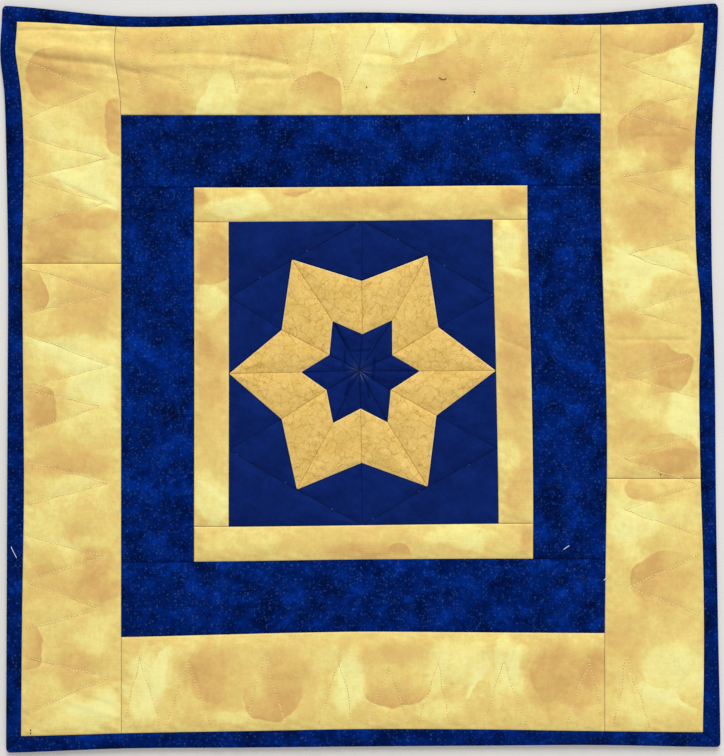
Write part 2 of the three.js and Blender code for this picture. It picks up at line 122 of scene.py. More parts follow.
# How far the star's sewn corners stray from the even pattern, by twelfths of a turn from the right
stray = {
    "centre": (-2.1, 1.8),
    "star": [
        (0, 1.5), (-1.4, 0.6), (-0.2, 2.1), (-0.4, 1.8), (-2.7, 0), (-1.6, -1.2),
        (0, -0.6), (-1.6, -0.9), (0.9, -1.5), (-0.4, -0.3), (-1.8, -0.3), (-3.6, 1.2),
    ],
    "core": [
        (-0.9, 1.2), (-1.8, -0.6), (0.5, 1.8), (0, 1.2), (-0.3, 1.2), (-0.3, -0.3),
        (-1.8, 0.4), (-2.4, 0.9), (0, 0), (-1.2, 0.9), (-3, 0.3), (-3, 0.9),
    ],
}


def starCorner(turn):
    return polar(plan["starValley" if turn % 2 else "starTip"], turn), stray["star"][turn % 12]


def coreCorner(turn):
    return polar(plan["coreValley" if turn % 2 else "coreTip"], turn), stray["core"][turn % 12]


# the block's triangles from corner to corner, each corner with its stray (hexagon and block stay)
strayTriangles = []
for sector in range(12):
    tip, valley = (sector + 1, sector) if sector % 2 else (sector, sector + 1)
    outside = polar(hexagonCorner, valley), (0, 0)
    strayTriangles += [
        (((0, 0), stray["centre"]), coreCorner(tip), coreCorner(valley)),
        (coreCorner(tip), starCorner(tip), starCorner(valley)),
        (coreCorner(tip), starCorner(valley), coreCorner(valley)),
        (starCorner(tip), outside, starCorner(valley)),
    ]
    if tip % 6:
        x, y = polar(plan["starTip"], tip)
        blockCorner = math.copysign(plan["starTip"], x), math.copysign(hexagonCorner, y)
        strayTriangles.append((starCorner(tip), outside, (blockCorner, (0, 0))))


def softCurve(f, p1, p2, slope1, slope2):
    return p1 + f * (slope1 + f * (3 * (p2 - p1) - 2 * slope1 - slope2
                                   + f * (2 * (p1 - p2) + slope1 + slope2)))


def through(stations, place):  # smooth curve through even stations, place from -1 to 1
    table = np.array(stations, float)
    last = len(table) - 1
    scaled = (np.clip(place, -1, 1) + 1) * 0.5 * last
    i = np.minimum(np.floor(scaled).astype(int), last - 1)
    f = scaled - i
    p0, p1, p2, p3 = (table[np.clip(i + k, 0, last)] for k in (-1, 0, 1, 2))
    return softCurve(f, p1, p2, (p2 - p0) / 2, (p3 - p1) / 2)


def sidePush(side, along, out):  # grows from seam to seam, nothing at the star's centre
    low, high = endsOf(side)
    rows = seamRows[side]

    def station(name, row):
        reach = np.where(along < 0, seamRows[low][row], seamRows[high][row])
        return through(lies[side][name], along / reach)

    knots = [(0, 0 * along)]
    for name, row in (("block", 0), ("seam", 2), ("edge", 3), ("rim", 4)):
        knots.append((rows[row], station(name, row)))
    push = knots[-1][1]
    for (from_, before), (to, after) in reversed(list(zip(knots, knots[1:]))):
        push = np.where(out <= to, before + (after - before) * (out - from_) / (to - from_), push)
    return push


def strayAt(x, y):  # goes with the corners of its triangle
    strayX, strayY = 0 * x, 0 * y
    for (a, byA), (b, byB), (c, byC) in strayTriangles:
        toB, toC = (b[0] - a[0], b[1] - a[1]), (c[0] - a[0], c[1] - a[1])
        dx, dy = x - a[0], y - a[1]
        twiceArea = toB[0] * toC[1] - toB[1] * toC[0]
        u = (dx * toC[1] - dy * toC[0]) / twiceArea
        v = (toB[0] * dy - toB[1] * dx) / twiceArea
        inside = (u > -1e-9) & (v > -1e-9) & (u + v < 1 + 1e-9)
        strayX = np.where(inside, byA[0] * (1 - u - v) + byB[0] * u + byC[0] * v, strayX)
        strayY = np.where(inside, byA[1] * (1 - u - v) + byB[1] * u + byC[1] * v, strayY)
    return strayX, strayY


def lie(x, y):  # where a plan point really lies
    sideways = np.where(x > 0, sidePush("right", y, x), -sidePush("left", y, -x))
    upward = np.where(y > 0, sidePush("top", x, y), -sidePush("bottom", x, -y))
    strayX, strayY = strayAt(x, y)
    tug = 0
    for atX, atY, reach, out in cornerTugs:
        tug = tug + out * np.exp(-2 * ((x - atX) ** 2 + (y - atY) ** 2) / reach ** 2)
    return x + sideways + strayX - tug, y + upward + strayY


def rimBox():  # the quilt's box before it is centred on its underside
    spans = np.linspace(-1, 1, 400)
    xs, ys = [], []
    for side in sides:
        low, high = endsOf(side)
        along = np.where(spans < 0, spans * seamRows[low][4], spans * seamRows[high][4])
        x, y = lie(*(np.broadcast_to(v, spans.shape) for v in onSide(side, along, seamRows[side][4])))
        xs.append(x)
        ys.append(y)
    xs, ys = np.concatenate(xs), np.concatenate(ys)
    return -(xs.min() + xs.max()) / 2, -(ys.min() + ys.max()) / 2


shiftX, shiftY = rimBox()


def placed(x, y, z):  # plan and height in mm to points of the frame in metres
    lieX, lieY = lie(x, y)
    return np.stack([lieX + shiftX, lieY + shiftY, z + 0 * lieX], -1) * mm


# Chevrons of the outer border: first foot, tip and last foot along the side, tip's gap to the inner seam
quilting = {
    "foot": 3.4,
    "top": [
        (-165, -156, -141, 15), (-139, -126, -121, 15), (-100, -89.5, -74, 15), (-62, -44, -34, 15),
        (-23, -12, 10, 15), (15, 31, 47, 15), (67, 81, 97, 13), (101, 109, 124, 16.5), (142, 154, 168, 14),
    ],
    "right": [
        (-174.5, -155, -132, 16.5), (-118, -99.5, -82, 12), (-81, -62.5, -46, 12), (-18, -2.5, 12, 16),
        (31, 44.5, 59, 20), (69.5, 85, 97, 18.5), (121, 140.5, 149, 16), (174, 187, 200, 13.5),
        (203.5, 221.5, 237.5, 15),
    ],
    "bottom": [
        (-171, -159, -143, 15), (-141, -124, -108, 18), (-83, -70, -54, 16.5), (-31, -16, -7, 18.5),
        (3, 18.5, 32, 25), (39, 53, 61, 21), (84.5, 99, 115, 21), (144, 161, 171, 18),
    ],
    "left": [
        (-242, -216, -202, 8.5), (-182, -167, -149, 15.5), (-148, -131, -116, 14), (-94, -78.5, -64, 8.5),
        (-42, -24, -12.5, 15.5), (-11, 5.5, 28, 8.5), (44, 56.5, 78, 7.5), (108, 123.5, 140, 10.5),
        (142, 155.5, 171, 8.5), (185.5, 204, 224, 15.5),
    ],
    "corner": (178.5, 187, 203.5, 17),  # the bottom's last one, across the end of the right strip
    "navy": {"repeat": 37, "start": 14, "innerMargin": 11, "outerMargin": 12},
}


def chevron(side, firstFoot, tip, lastFoot, gap):
    foot = seamRows[side][3] - quilting["foot"]
    points = [(firstFoot, foot), (tip, seamRows[side][2] + gap), (lastFoot, foot)]
    return [onSide(side, along, out) for along, out in points]


def navyLine(side):
    low, high = endsOf(side)
    rule = quilting["navy"]
    reach = 1 if isSideways(side) else 2
    first, last = -seamRows[low][reach], seamRows[high][reach]
    rows = (seamRows[side][1] + rule["innerMargin"], seamRows[side][2] - rule["outerMargin"])
    points = [(first, rows[0])]
    k = 0
    while first + rule["start"] + k * rule["repeat"] / 2 < last - rule["start"] / 2:
        points.append((first + rule["start"] + k * rule["repeat"] / 2, rows[(k + 1) % 2]))
        k += 1
    points.append((last, rows[len(points) % 2]))
    return [onSide(side, along, out) for along, out in points]


def segments(points):
    return list(zip(points, points[1:]))


# Every line that is sewn down: the quilting's zigzags, then the seams between pieces
chevronLines = [chevron(side, *row) for side in sides for row in quilting[side]]
chevronLines.append(chevron("bottom", *quilting["corner"]))
navyLines = [navyLine(side) for side in sides]
quiltedLines = [s for line in chevronLines + navyLines for s in segments(line)]
seamLines = []
for side in sides:
    low, high = endsOf(side)
    for row in range(4):
        out = seamRows[side][row]
        seamLines.append((onSide(side, -seamRows[low][row], out), onSide(side, seamRows[high][row], out)))
for end, sign in (("top", 1), ("bottom", -1)):
    for side in ("left", "right"):
        ends, rows = [sign * out for out in seamRows[end]], seamRows[side]
        seamLines.append((onSide(side, ends[0], rows[0]), onSide(side, ends[0], rows[1])))
        seamLines.append((onSide(side, ends[1], rows[1]), onSide(side, ends[1], rows[2])))
        seamLines.append((onSide(side, ends[2], rows[2]), onSide(side, ends[3], rows[2])))
for side, joint in (("left", plan["leftJoint"]), ("right", plan["rightJoint"])):
    seamLines.append((onSide(side, joint, seamRows[side][2]), onSide(side, joint, seamRows[side][3])))
hexagonLines = []
for turn in range(0, 12, 2):
    seamLines.append(((0, 0), polar(plan["starTip"], turn)))
    seamLines.append(((0, 0), polar(hexagonCorner, turn + 1)))
    hexagonLines.append((polar(hexagonCorner, turn - 1), polar(hexagonCorner, turn + 1)))
    for tip, valley in (("starTip", "starValley"), ("coreTip", "coreValley")):
        seamLines.append((polar(plan[valley], turn - 1), polar(plan[tip], turn)))
        seamLines.append((polar(plan[tip], turn), polar(plan[valley], turn + 1)))
seamLines += hexagonLines


def distanceTo(x, y, lines, reach):  # to the nearest line, or more than reach
    best = np.full(np.shape(x), 2.0 * reach)
    for (x0, y0), (x1, y1) in lines:
        if min(x0, x1) > x.max() + reach or max(x0, x1) < x.min() - reach:
            continue
        if min(y0, y1) > y.max() + reach or max(y0, y1) < y.min() - reach:
            continue
        dx, dy = x1 - x0, y1 - y0
        t = np.clip(((x - x0) * dx + (y - y0) * dy) / max(dx * dx + dy * dy, 1e-9), 0, 1)
        best = np.minimum(best, np.hypot(x - x0 - t * dx, y - y0 - t * dy))
    return best


def ripple(x, y, wave, seed):  # smooth uneven waves, about -1 to 1
    dice = np.random.default_rng(seed)
    total = 0
    for _ in range(6):
        angle, size, start = dice.uniform(0, tau), wave * dice.uniform(0.7, 1.5), dice.uniform(0, tau)
        total = total + np.sin((x * math.cos(angle) + y * math.sin(angle)) * tau / size + start)
    return total / 2.4


# Heights of the padded cloth in mm
padding = {
    "seamHeight": 3.2,
    "loft": 1.6,
    "loftReach": 14,
    "groove": 0.13,        # extra pull right at the quilting thread
    "grooveWidth": 1.1,
    "pucker": 0.16,        # small gathers beside sewn lines
    "sag": 0.3,            # slow unevenness between them
    "fold": ([(-250, 231), (-153, 225)], 1.6, 7),
    # soft creases: the line, its rise or fall, half width
    "creases": [
        # the fold at the corner and what runs on from it
        ([(-240, 229.5), (-222, 225), (-204, 224), (-181, 223), (-172, 220.5), (-159, 217)], -0.9, 2.2),
        ([(-244, 244), (-218, 245.7), (-200, 245.4), (-175, 247.5)], -0.8, 1.2),
        ([(-240, 237), (-205, 232), (-178, 231)], 0.7, 3.6),
        ([(-238, 222), (-205, 217), (-180, 214)], 0.5, 3),
        ([(-249, 227), (-242, 224)], -0.7, 1.6),
        # the top border
        ([(-144, 230), (-122, 231), (-100, 229)], -0.6, 2.2),
        ([(-153, 222), (-128, 223), (-99, 222)], 0.5, 2.6),
        ([(-149, 217), (-133, 212)], -0.5, 1.8),
        ([(-97, 229), (-75, 227), (-54, 222)], -0.7, 1.8),
        ([(-90, 218), (-50, 217)], 0.5, 2.4),
        ([(-82, 212), (-50, 212)], -0.4, 1.8),
        ([(1, 229), (23, 227)], -0.5, 1.8),
        ([(1, 223), (24, 221)], 0.4, 2),
        ([(138, 225), (172, 230)], -0.5, 1.8),
        # the sides
        ([(182, 23.6), (232, 23.6)], -0.5, 1.6),
        ([(198, 170), (225, 170)], -0.4, 1.6),
        ([(227, 88), (234, 85)], -0.5, 1.4),
        ([(178, -7), (236, 1)], -0.4, 3),
        ([(-218, 139), (-192, 127), (-180, 122)], -0.5, 1.3),
        ([(-209, -233), (-175, -246)], 0.3, 2.4),
        ([(-203, -228), (-176, -238)], -0.3, 2),
        ([(98.5, 25), (118, 16)], -0.4, 1.2),
    ],
    # small pulls in the star's core
    "pulls": [
        ([(-19, 34), (-9, 16)], -0.4, 1.3), ([(-6, 14.4), (6, 14.8)], -0.35, 1.1),
        ([(10.4, 9), (10, -6)], -0.4, 1.2), ([(6, -9), (7, -19)], -0.35, 1.2),
        ([(-11, 15), (-12, 3)], -0.4, 1.2), ([(-7, -9), (-11, -17)], -0.35, 1.2),
    ],
    "quiltedHold": (7, 0.8),   # quilting pulls less than a seam
    "centreLump": (0.4, 11),   # seam allowances lie thick under the centre
}


def heightAt(x, y):
    reach = padding["loftReach"]
    quilted = distanceTo(x, y, quiltedLines, reach)
    held, ease = padding["quiltedHold"]
    near = np.minimum(held + ease * quilted, distanceTo(x, y, seamLines, reach))
    slack = 1 - np.minimum(near / reach, 1)
    full = 1 - slack ** 2
    z = padding["seamHeight"] + padding["loft"] * full
    line, height, half = padding["fold"]
    z = z + height * np.exp(-(distanceTo(x, y, segments(line), 40) / half) ** 2)
    for line, height, half in padding["creases"]:
        away = distanceTo(x, y, segments(line), 30)
        z = z + np.minimum(near / 3, 1) * height * np.exp(-(away / half) ** 2)
    z = z - padding["groove"] * np.exp(-(quilted / padding["grooveWidth"]) ** 2)
    for line, height, half in padding["pulls"]:
        z = z + height * np.exp(-(distanceTo(x, y, segments(line), 8) / half) ** 2)
    lump, size = padding["centreLump"]
    z = z + lump * np.exp(-(np.hypot(x, y) / size) ** 4)
    beside = np.exp(-((near - 3.5) / 3) ** 2)
    z = z + padding["pucker"] * beside * ripple(x, y, 8, 21)
    return z + padding["sag"] * full * ripple(x, y, 30, 22)


# Where the marbled cloth runs darker and paler, given in plan mm
marbling = {
    "step": 1.05,
    # how clouds wander, and how pools and streaks bend: amount, wave, seed across, seed up
    "wander": [(4, 40, 31, 33), (2.4, 15, 32, 34), (0.9, 6, 37, 38)],
    "bend": [(1.9, 26, 35, 36), (0.3, 7, 39, 40)],
    # soft clouds: x, y, half width, half height, depth (ochre above nought, lemon below)
    "clouds": [
        (-153, 218, 22, 30, 0.35), (-138, 194, 16, 9, 0.5), (-72, 237, 19, 10, 0.5),
        (62, 216, 26, 18, 0.6), (44, 199, 24, 12, 0.6), (103, 198, 12, 10, 0.5),
        (146, 234, 24, 13, 0.4), (7, 224, 19, 26, -0.6), (-102, 202, 14, 14, -0.6),
        (158, 199, 14, 12, -0.6), (27, 241, 16, 9, -0.5), (-23, 236, 14, 10, -0.2),
        (-218, 214, 27, 16, 0.6), (-200, 160, 24, 22, -0.5), (-218, 182, 14, 10, -0.3),
        (-218, 97, 23, 17, 0.8), (-196, 111, 20, 10, 0.6), (-186, 136, 16, 14, -0.6),
        (-196, 52, 20, 20, 0.5), (-207, 15, 32, 12, -0.7), (-192, -9, 19, 14, -0.8),
        (-196, -34, 20, 13, -0.4), (-210, -63, 29, 13, 0.6), (-190, -147, 17, 17, 0.8),
        (-225, -149, 17, 13, 0.4), (-205, -207, 16, 14, 0.5), (-225, -106, 19, 24, -0.3),
        (-208, -110, 10, 10, 0.4), (-200, -241, 24, 13, -0.6), (-189, -185, 13, 10, -0.3),
        (181, 236, 10, 13, 0.5), (216, 172, 29, 20, 0.75), (226, 159, 15, 13, 0.4),
        (200, 142, 17, 9, 0.3), (214, 124, 17, 12, 0.3), (186, 38, 13, 7, 0.6), (200, 8, 24, 17, 0.4),
        (191, -43, 17, 10, 0.4), (218, -66, 23, 10, 0.9), (207, 211, 22, 10, -0.4),
        (232, 214, 9, 14, -0.6), (232, 142, 7, 12, -0.5), (191, 74, 17, 20, -0.9),
        (218, 80, 19, 9, -0.7), (200, 49, 22, 7, -0.3), (229, -30, 12, 19, -0.9),
        (200, -27, 13, 7, -0.3), (168, -213, 9, 14, 0.5), (214, -153, 23, 19, 0.4),
        (184, -190, 13, 14, 0.4), (191, -106, 16, 22, -0.8), (220, -106, 19, 14, -0.3),
        (222, -213, 20, 19, -0.7), (200, -239, 17, 12, -0.4), (-108, -214, 20, 20, 0.6),
        (-56, -221, 14, 24, 0.5), (24, -203, 19, 10, 0.4), (142, -220, 26, 24, 0.7),
        (-154, -223, 13, 24, -0.7), (-9, -225, 10, 22, -0.8), (-27, -203, 12, 10, -0.2),
        (67, -207, 20, 17, -0.6), (103, -210, 12, 20, -0.7), (49, -243, 17, 9, -0.3),
        (-92, -246, 14, 6, -0.4), (2, 122, 33, 6, 0.35), (-117, 128, 8, 7, 0.9),
        (-97, 119, 14, 8, -0.6), (109, 126, 10, 8, 0.8), (-82, 123, 14, 9, -0.8),
        (56, 124, 22, 7, -0.2), (-108, 92, 12, 19, 0.8), (203, 109, 20, 14, 0.5),
        (194, 155, 14, 9, -0.5), (226, 230, 8, 8, -0.6), (-108, 2, 12, 33, 0.4), (-111, 24, 7, 12, 0.3),
        (-108, 52, 10, 10, -0.7), (-108, -88, 11, 17, -0.7), (108, 20, 11, 24, 0.6),
        (109, -20, 10, 14, 0.6), (107, 90, 11, 16, -0.9), (103, -59, 7, 14, -0.6),
        (111, -84, 9, 14, 0.4), (2, -129, 26, 6, 0.6), (115, -120, 6, 10, 0.8), (69, -119, 22, 8, -0.8),
        (-81, -120, 24, 9, -0.3), (-176, 178, 8, 17, 0.5), (-228, -26, 16, 16, 0.35),
        (-200, -83, 18, 8, -0.4), (184, 214, 11, 11, 0.5), (-193, -237, 18, 6, -0.6),
        (-205, -124, 18, 6, -0.3), (-108, 0, 12, 100, 0.14), (108, 0, 12, 100, 0.16),
        (0, 123, 110, 9, 0.08), (0, -123, 110, 9, 0.1),
    ],
    # pools of dye with one crisp rim: x, y, half width, half height, way the rim faces in degrees, depth
    "pools": [
        (-35, 196, 20, 21, 62, 0.95), (-169, 178, 16, 22, 180, 1.0), (-241, 58, 17, 15, 0, 1.0),
        (-239, -25, 22, 18, 0, 0.9), (-241, -194, 16, 17, 355, 1.0), (204, 3, 30, 20, 0, 0.9),
        (216, -149, 26, 19, 150, 0.85), (-65, -228, 21, 24, 268, 1.0), (23, -225, 23, 17, 264, 1.0),
        (26, -133, 9, 10, 90, 1.0), (-45, 134, 12, 6, 270, 1.0), (-110, 85, 16, 20, 315, 0.8),
        (204, 247, 30, 18, 312, 0.9), (211, 174, 28, 20, 140, 0.6), (-211, 213, 27, 22, 170, 0.8),
        (-103, -213, 20, 24, 215, 0.4), (206, -84, 22, 11, 200, 0.8), (213, -61, 26, 16, 30, 0.5),
        (142, -218, 24, 22, 190, 0.25),
    ],
    # pale streaks, crisp along one side: from, to, width
    "streaks": [
        (-241, 29, -174, 5, 4.5), (-173, 119.5, -224, 146, 6), (180, 88, 222, 74, 4.5),
        (98, 80, 119, 70, 4), (-120, -75, -96, -87, 4), (196, -219, 238, -241, 4.5),
        (-117, 186, -107, 214, 4.5), (139, 186, 150, 205, 4.5), (97, -230, 112, -192, 5),
        (-156, -237, -141, -192, 6), (236, -17, 242, -57, 4), (70, 239, 27, 219, 6),
        (88, -207, 75, -237, 3), (-16, -229, -19, -208, 3),
    ],
}


def wandered(x, y, waves):
    toX, toY = x, y
    for amount, wave, acrossSeed, upSeed in waves:
        toX = toX + amount * ripple(x, y, wave, acrossSeed)
        toY = toY + amount * ripple(x, y, wave, upSeed)
    return toX, toY


def marksAt(x, y):
    lowX, highX, lowY, highY = x.min() - 4, x.max() + 4, y.min() - 4, y.max() + 4

    def onPiece(atX, atY):  # a mark stops at the seam of the piece it is on
        return lowX < atX < highX and lowY < atY < highY

    warpX, warpY = wandered(x, y, marbling["wander"])
    tone = np.zeros_like(x)
    for atX, atY, wide, high, depth in marbling["clouds"]:
        if onPiece(atX, atY):
            loose = min(1, min(wide, high) / 16)  # small clouds keep their form
            dx, dy = x + loose * (warpX - x) - atX, y + loose * (warpY - y) - atY
            tone += depth / (1 + np.exp(8 * (np.hypot(dx / wide, dy / high) - 1)))

    # pools and streaks: how far inside the nearest one's rim, and its strength there
    marks = {"tone": tone}
    for kind in ("pool", "streak"):
        marks[kind], marks[kind + "Edge"] = np.zeros_like(x), np.full_like(x, -9)

    def lay(kind, edge, strength):
        nearer = edge > marks[kind + "Edge"]
        marks[kind] = np.where(nearer, strength, marks[kind])
        marks[kind + "Edge"] = np.where(nearer, edge, marks[kind + "Edge"])

    bendX, bendY = wandered(x, y, marbling["bend"])
    for atX, atY, wide, high, facing, depth in marbling["pools"]:
        if onPiece(atX, atY):
            dx, dy = (bendX - atX) / wide, (bendY - atY) / high
            angle = math.radians(facing)
            rimward = np.clip(0.16 + 0.9 * (dx * math.cos(angle) + dy * math.sin(angle)), 0, 1)
            lay("pool", (1 - np.hypot(dx, dy)) * min(wide, high), depth * rimward)
    for x0, y0, x1, y1, width in marbling["streaks"]:
        if onPiece(x0, y0) or onPiece(x1, y1):
            length = math.hypot(x1 - x0, y1 - y0)
            dx, dy = (x1 - x0) / length, (y1 - y0) / length
            t = ((bendX - x0) * dx + (bendY - y0) * dy) / length
            across = (bendX - x0) * dy - (bendY - y0) * dx
            edge = np.where((np.abs(t - 0.5) < 0.55) & (across < 2.6 * width), across, -9)
            lay("streak", edge, np.exp(-(across / width) ** 2) * np.sqrt(np.clip(4 * t * (1 - t), 0, 1)))
    return marks


def creaseShadeAt(x, y):  # painted shade along the core's seams and small pulls
    spokes = [((0, 0), coreCorner(turn)[0]) for turn in range(12)]
    dark = 0.65 * np.exp(-(distanceTo(x, y, spokes, 6) / 0.55) ** 2)
    for line, _, half in padding["pulls"]:
        dark = np.maximum(dark, np.exp(-(distanceTo(x, y, segments(line), 6) / (0.8 * half)) ** 2))
    return dark


# Meshes
def makePiece(name, points, faceGroups, finish, cloth=None, marks=None):
    mesh = bpy.data.meshes.new(name)
    corners = np.concatenate([group.reshape(-1) for group in faceGroups])
    sizes = np.concatenate([np.full(len(group), group.shape[1]) for group in faceGroups])
    mesh.vertices.add(len(points))
    mesh.vertices.foreach_set("co", np.ascontiguousarray(points, np.float32).ravel())
    mesh.loops.add(len(corners))
    mesh.loops.foreach_set("vertex_index", corners.astype(np.int32))
    mesh.polygons.add(len(sizes))
    mesh.polygons.foreach_set("loop_start", (np.cumsum(sizes) - sizes).astype(np.int32))
    mesh.update(calc_edges=True)
    mesh.shade_smooth()
    for kind, values in {**({} if cloth is None else {"cloth": cloth}), **(marks or {})}.items():
        isPlace = values.ndim == 2
        layer = mesh.attributes.new(kind, "FLOAT_VECTOR" if isPlace else "FLOAT", "POINT")
        flat = np.ascontiguousarray(values, np.float32).ravel()
        layer.data.foreach_set("vector" if isPlace else "value", flat)
    mesh.materials.append(finish)
    piece = bpy.data.objects.new(name, mesh)
    bpy.context.scene.collection.objects.link(piece)
    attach(piece, "root")
    return piece


def bandFaces(inner, outer):  # quads between two loops, the inner one first, seen from above
    return np.stack([inner, outer, np.roll(outer, -1), np.roll(inner, -1)], -1)


def drawnIn(corners, amount):  # a convex outline, each edge moved inwards
    before = np.roll(corners, 1, 0)
    along = np.roll(corners, -1, 0) - corners
    along = along / np.linalg.norm(along, axis=1, keepdims=True)
    came = corners - before
    came = came / np.linalg.norm(came, axis=1, keepdims=True)
    inAlong = np.stack([-along[:, 1], along[:, 0]], -1)
    inCame = np.stack([-came[:, 1], came[:, 0]], -1)
    half = inAlong + inCame
    return corners + amount * half / (1 + (inAlong * inCame).sum(1, keepdims=True))


def edgeLoop(corners, counts):
    runs = []
    for i, count in enumerate(counts):
        t = np.arange(count)[:, None] / count
        runs.append(corners[i] + (corners[(i + 1) % len(corners)] - corners[i]) * t)
    return np.concatenate(runs)


def fillQuad(corners, step):
    a, b, c, d = corners
    n = max(2, math.ceil(max(np.linalg.norm(b - a), np.linalg.norm(c - d)) / step))
    m = max(2, math.ceil(max(np.linalg.norm(d - a), np.linalg.norm(c - b)) / step))
    u, v = np.meshgrid(np.arange(n + 1) / n, np.arange(m + 1) / m)
    u, v = u[..., None], v[..., None]
    points = (1 - v) * ((1 - u) * a + u * b) + v * ((1 - u) * d + u * c)
    index = np.arange((n + 1) * (m + 1)).reshape(m + 1, n + 1)
    faces = np.stack([index[:-1, :-1], index[:-1, 1:], index[1:, 1:], index[1:, :-1]], -1).reshape(-1, 4)
    rim = np.concatenate([index[0, :-1], index[:-1, -1], index[-1, :0:-1], index[:0:-1, 0]])
    return points.reshape(-1, 2), faces, rim, (n, m, n, m)


def fillTriangle(corners, step):
    a, b, c = corners
    longest = max(np.linalg.norm(b - a), np.linalg.norm(c - b), np.linalg.norm(a - c))
    n = max(2, math.ceil(longest / step))
    i, j = np.tril_indices(n + 1)
    points = a + (b - a) * ((i - j) / n)[:, None] + (c - a) * (j / n)[:, None]
    start = np.arange(n + 2) * np.arange(1, n + 3) // 2
    i, j = np.tril_indices(n)
    upright = np.stack([start[i] + j, start[i + 1] + j, start[i + 1] + j + 1], -1)
    i, j = i[j < i], j[j < i]
    turned = np.stack([start[i] + j, start[i + 1] + j + 1, start[i] + j + 1], -1)
    row = np.arange(n)
    rim = np.concatenate([start[row], start[n] + row, (start[:n + 1] + np.arange(n + 1))[:0:-1]])
    return points, np.concatenate([upright, turned]), rim, (n, n, n)


# A patch: its top on the padding, an edge that rolls into the seam, and a flat underside
patch = {
    "underside": 2.3,
    # in from the seam, drop below the padding
    "roll": [(0.5, 0), (0.26, 0.16), (0.1, 0.5)],
    "tightRoll": [(0.34, 0), (0.16, 0.1), (0.05, 0.26)],
    "faintRoll": [(0.3, 0), (0.13, 0.05), (0.04, 0.14)],
    "step": 1.15,
    "rim": 0.9,  # width of the line beside a seam between two colours: painted highlight on the pale cloth, painted shadow on the navy
}


def sewPatch(node, finish, corners, number, marbled=False, roll="roll", lightShadeEdges=()):
    corners = np.array(corners, float)
    lightShadeLines = [(corners[i], corners[(i + 1) % len(corners)]) for i in lightShadeEdges]
    nextCorners = np.roll(corners, -1, 0)
    area = (corners[:, 0] * nextCorners[:, 1] - corners[:, 1] * nextCorners[:, 0]).sum() / 2
    if area < 0:
        corners, area = corners[::-1], -area
    fill = fillQuad if len(corners) == 4 else fillTriangle
    step = marbling["step"] if marbled else patch["step"]
    points, faces, rim, counts = fill(drawnIn(corners, patch[roll][0][0]), step)
    drop = np.zeros(len(points))
    groups, inner = [faces], rim
    for inset, fall in patch[roll][1:]:
        loop = edgeLoop(drawnIn(corners, inset), counts)
        outer = len(points) + np.arange(len(loop))
        groups.append(bandFaces(inner, outer))
        points = np.concatenate([points, loop])
        drop = np.append(drop, np.full(len(loop), fall))
        inner = outer
    z = heightAt(points[:, 0], points[:, 1]) - drop
    foot = len(points) + np.arange(len(inner))
    groups += [bandFaces(inner, foot), foot[::-1][None]]
    points = np.concatenate([points, points[inner]])
    z = np.append(z, np.full(len(foot), patch["underside"]))
    x, y = points[:, 0], points[:, 1]

    edges = np.roll(corners, -1, 0) - corners
    grain = edges[np.argmax(np.linalg.norm(edges, axis=1))]
    grain = grain / np.linalg.norm(grain)
    across = np.array([-grain[1], grain[0]])
    dice = np.random.default_rng(400 + number)
    cloth = np.stack([points @ grain, points @ across, np.zeros(len(x))], -1) + dice.uniform(0, 900, 3)
    plainMarks = {"spot": np.stack([x, y, 0 * x], -1), "crease": creaseShadeAt(x, y)}
    marks = marksAt(x, y) if marbled else plainMarks
    # painted seam line: a painted highlight on the marbled and gold cloth, a painted shadow on the navy
    if lightShadeLines:
        marks["rim"] = np.clip(1 - distanceTo(x, y, lightShadeLines, 2) / patch["rim"], 0, 1)
    piece = makePiece(node + "_cloth", placed(x, y, z), groups, finish, cloth, marks)
    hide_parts(node)
    long, wide = np.ptp(corners @ grain), np.ptp(corners @ across)
    area * mm * mm
    return piece


# Shader helpers
class Value:
    def __init__(self, tree, socket):
        self.tree = tree
        self.socket = socket

    def maths(self, operation, first, second=None):
        node = self.tree.nodes.new("ShaderNodeMath")
        node.operation = operation
        for slot, item in enumerate((first, second)):
            if isinstance(item, Value):
                self.tree.links.new(item.socket, node.inputs[slot])
            elif item is not None:
                node.inputs[slot].default_value = item
        return Value(self.tree, node.outputs[0])

    def __add__(self, other):
        return self.maths("ADD", self, other)

    def __radd__(self, other):
        return self.maths("ADD", other, self)

    def __sub__(self, other):
        return self.maths("SUBTRACT", self, other)

    def __rsub__(self, other):
        return self.maths("SUBTRACT", other, self)

    def __mul__(self, other):
        return self.maths("MULTIPLY", self, other)

    def __rmul__(self, other):
        return self.maths("MULTIPLY", other, self)

    def __abs__(self):
        return self.maths("ABSOLUTE", self)

    def wrapped(self):
        return self.maths("FRACT", self)

    def twin(self, output):  # another output of the same node
        return Value(self.tree, self.socket.node.outputs[output])


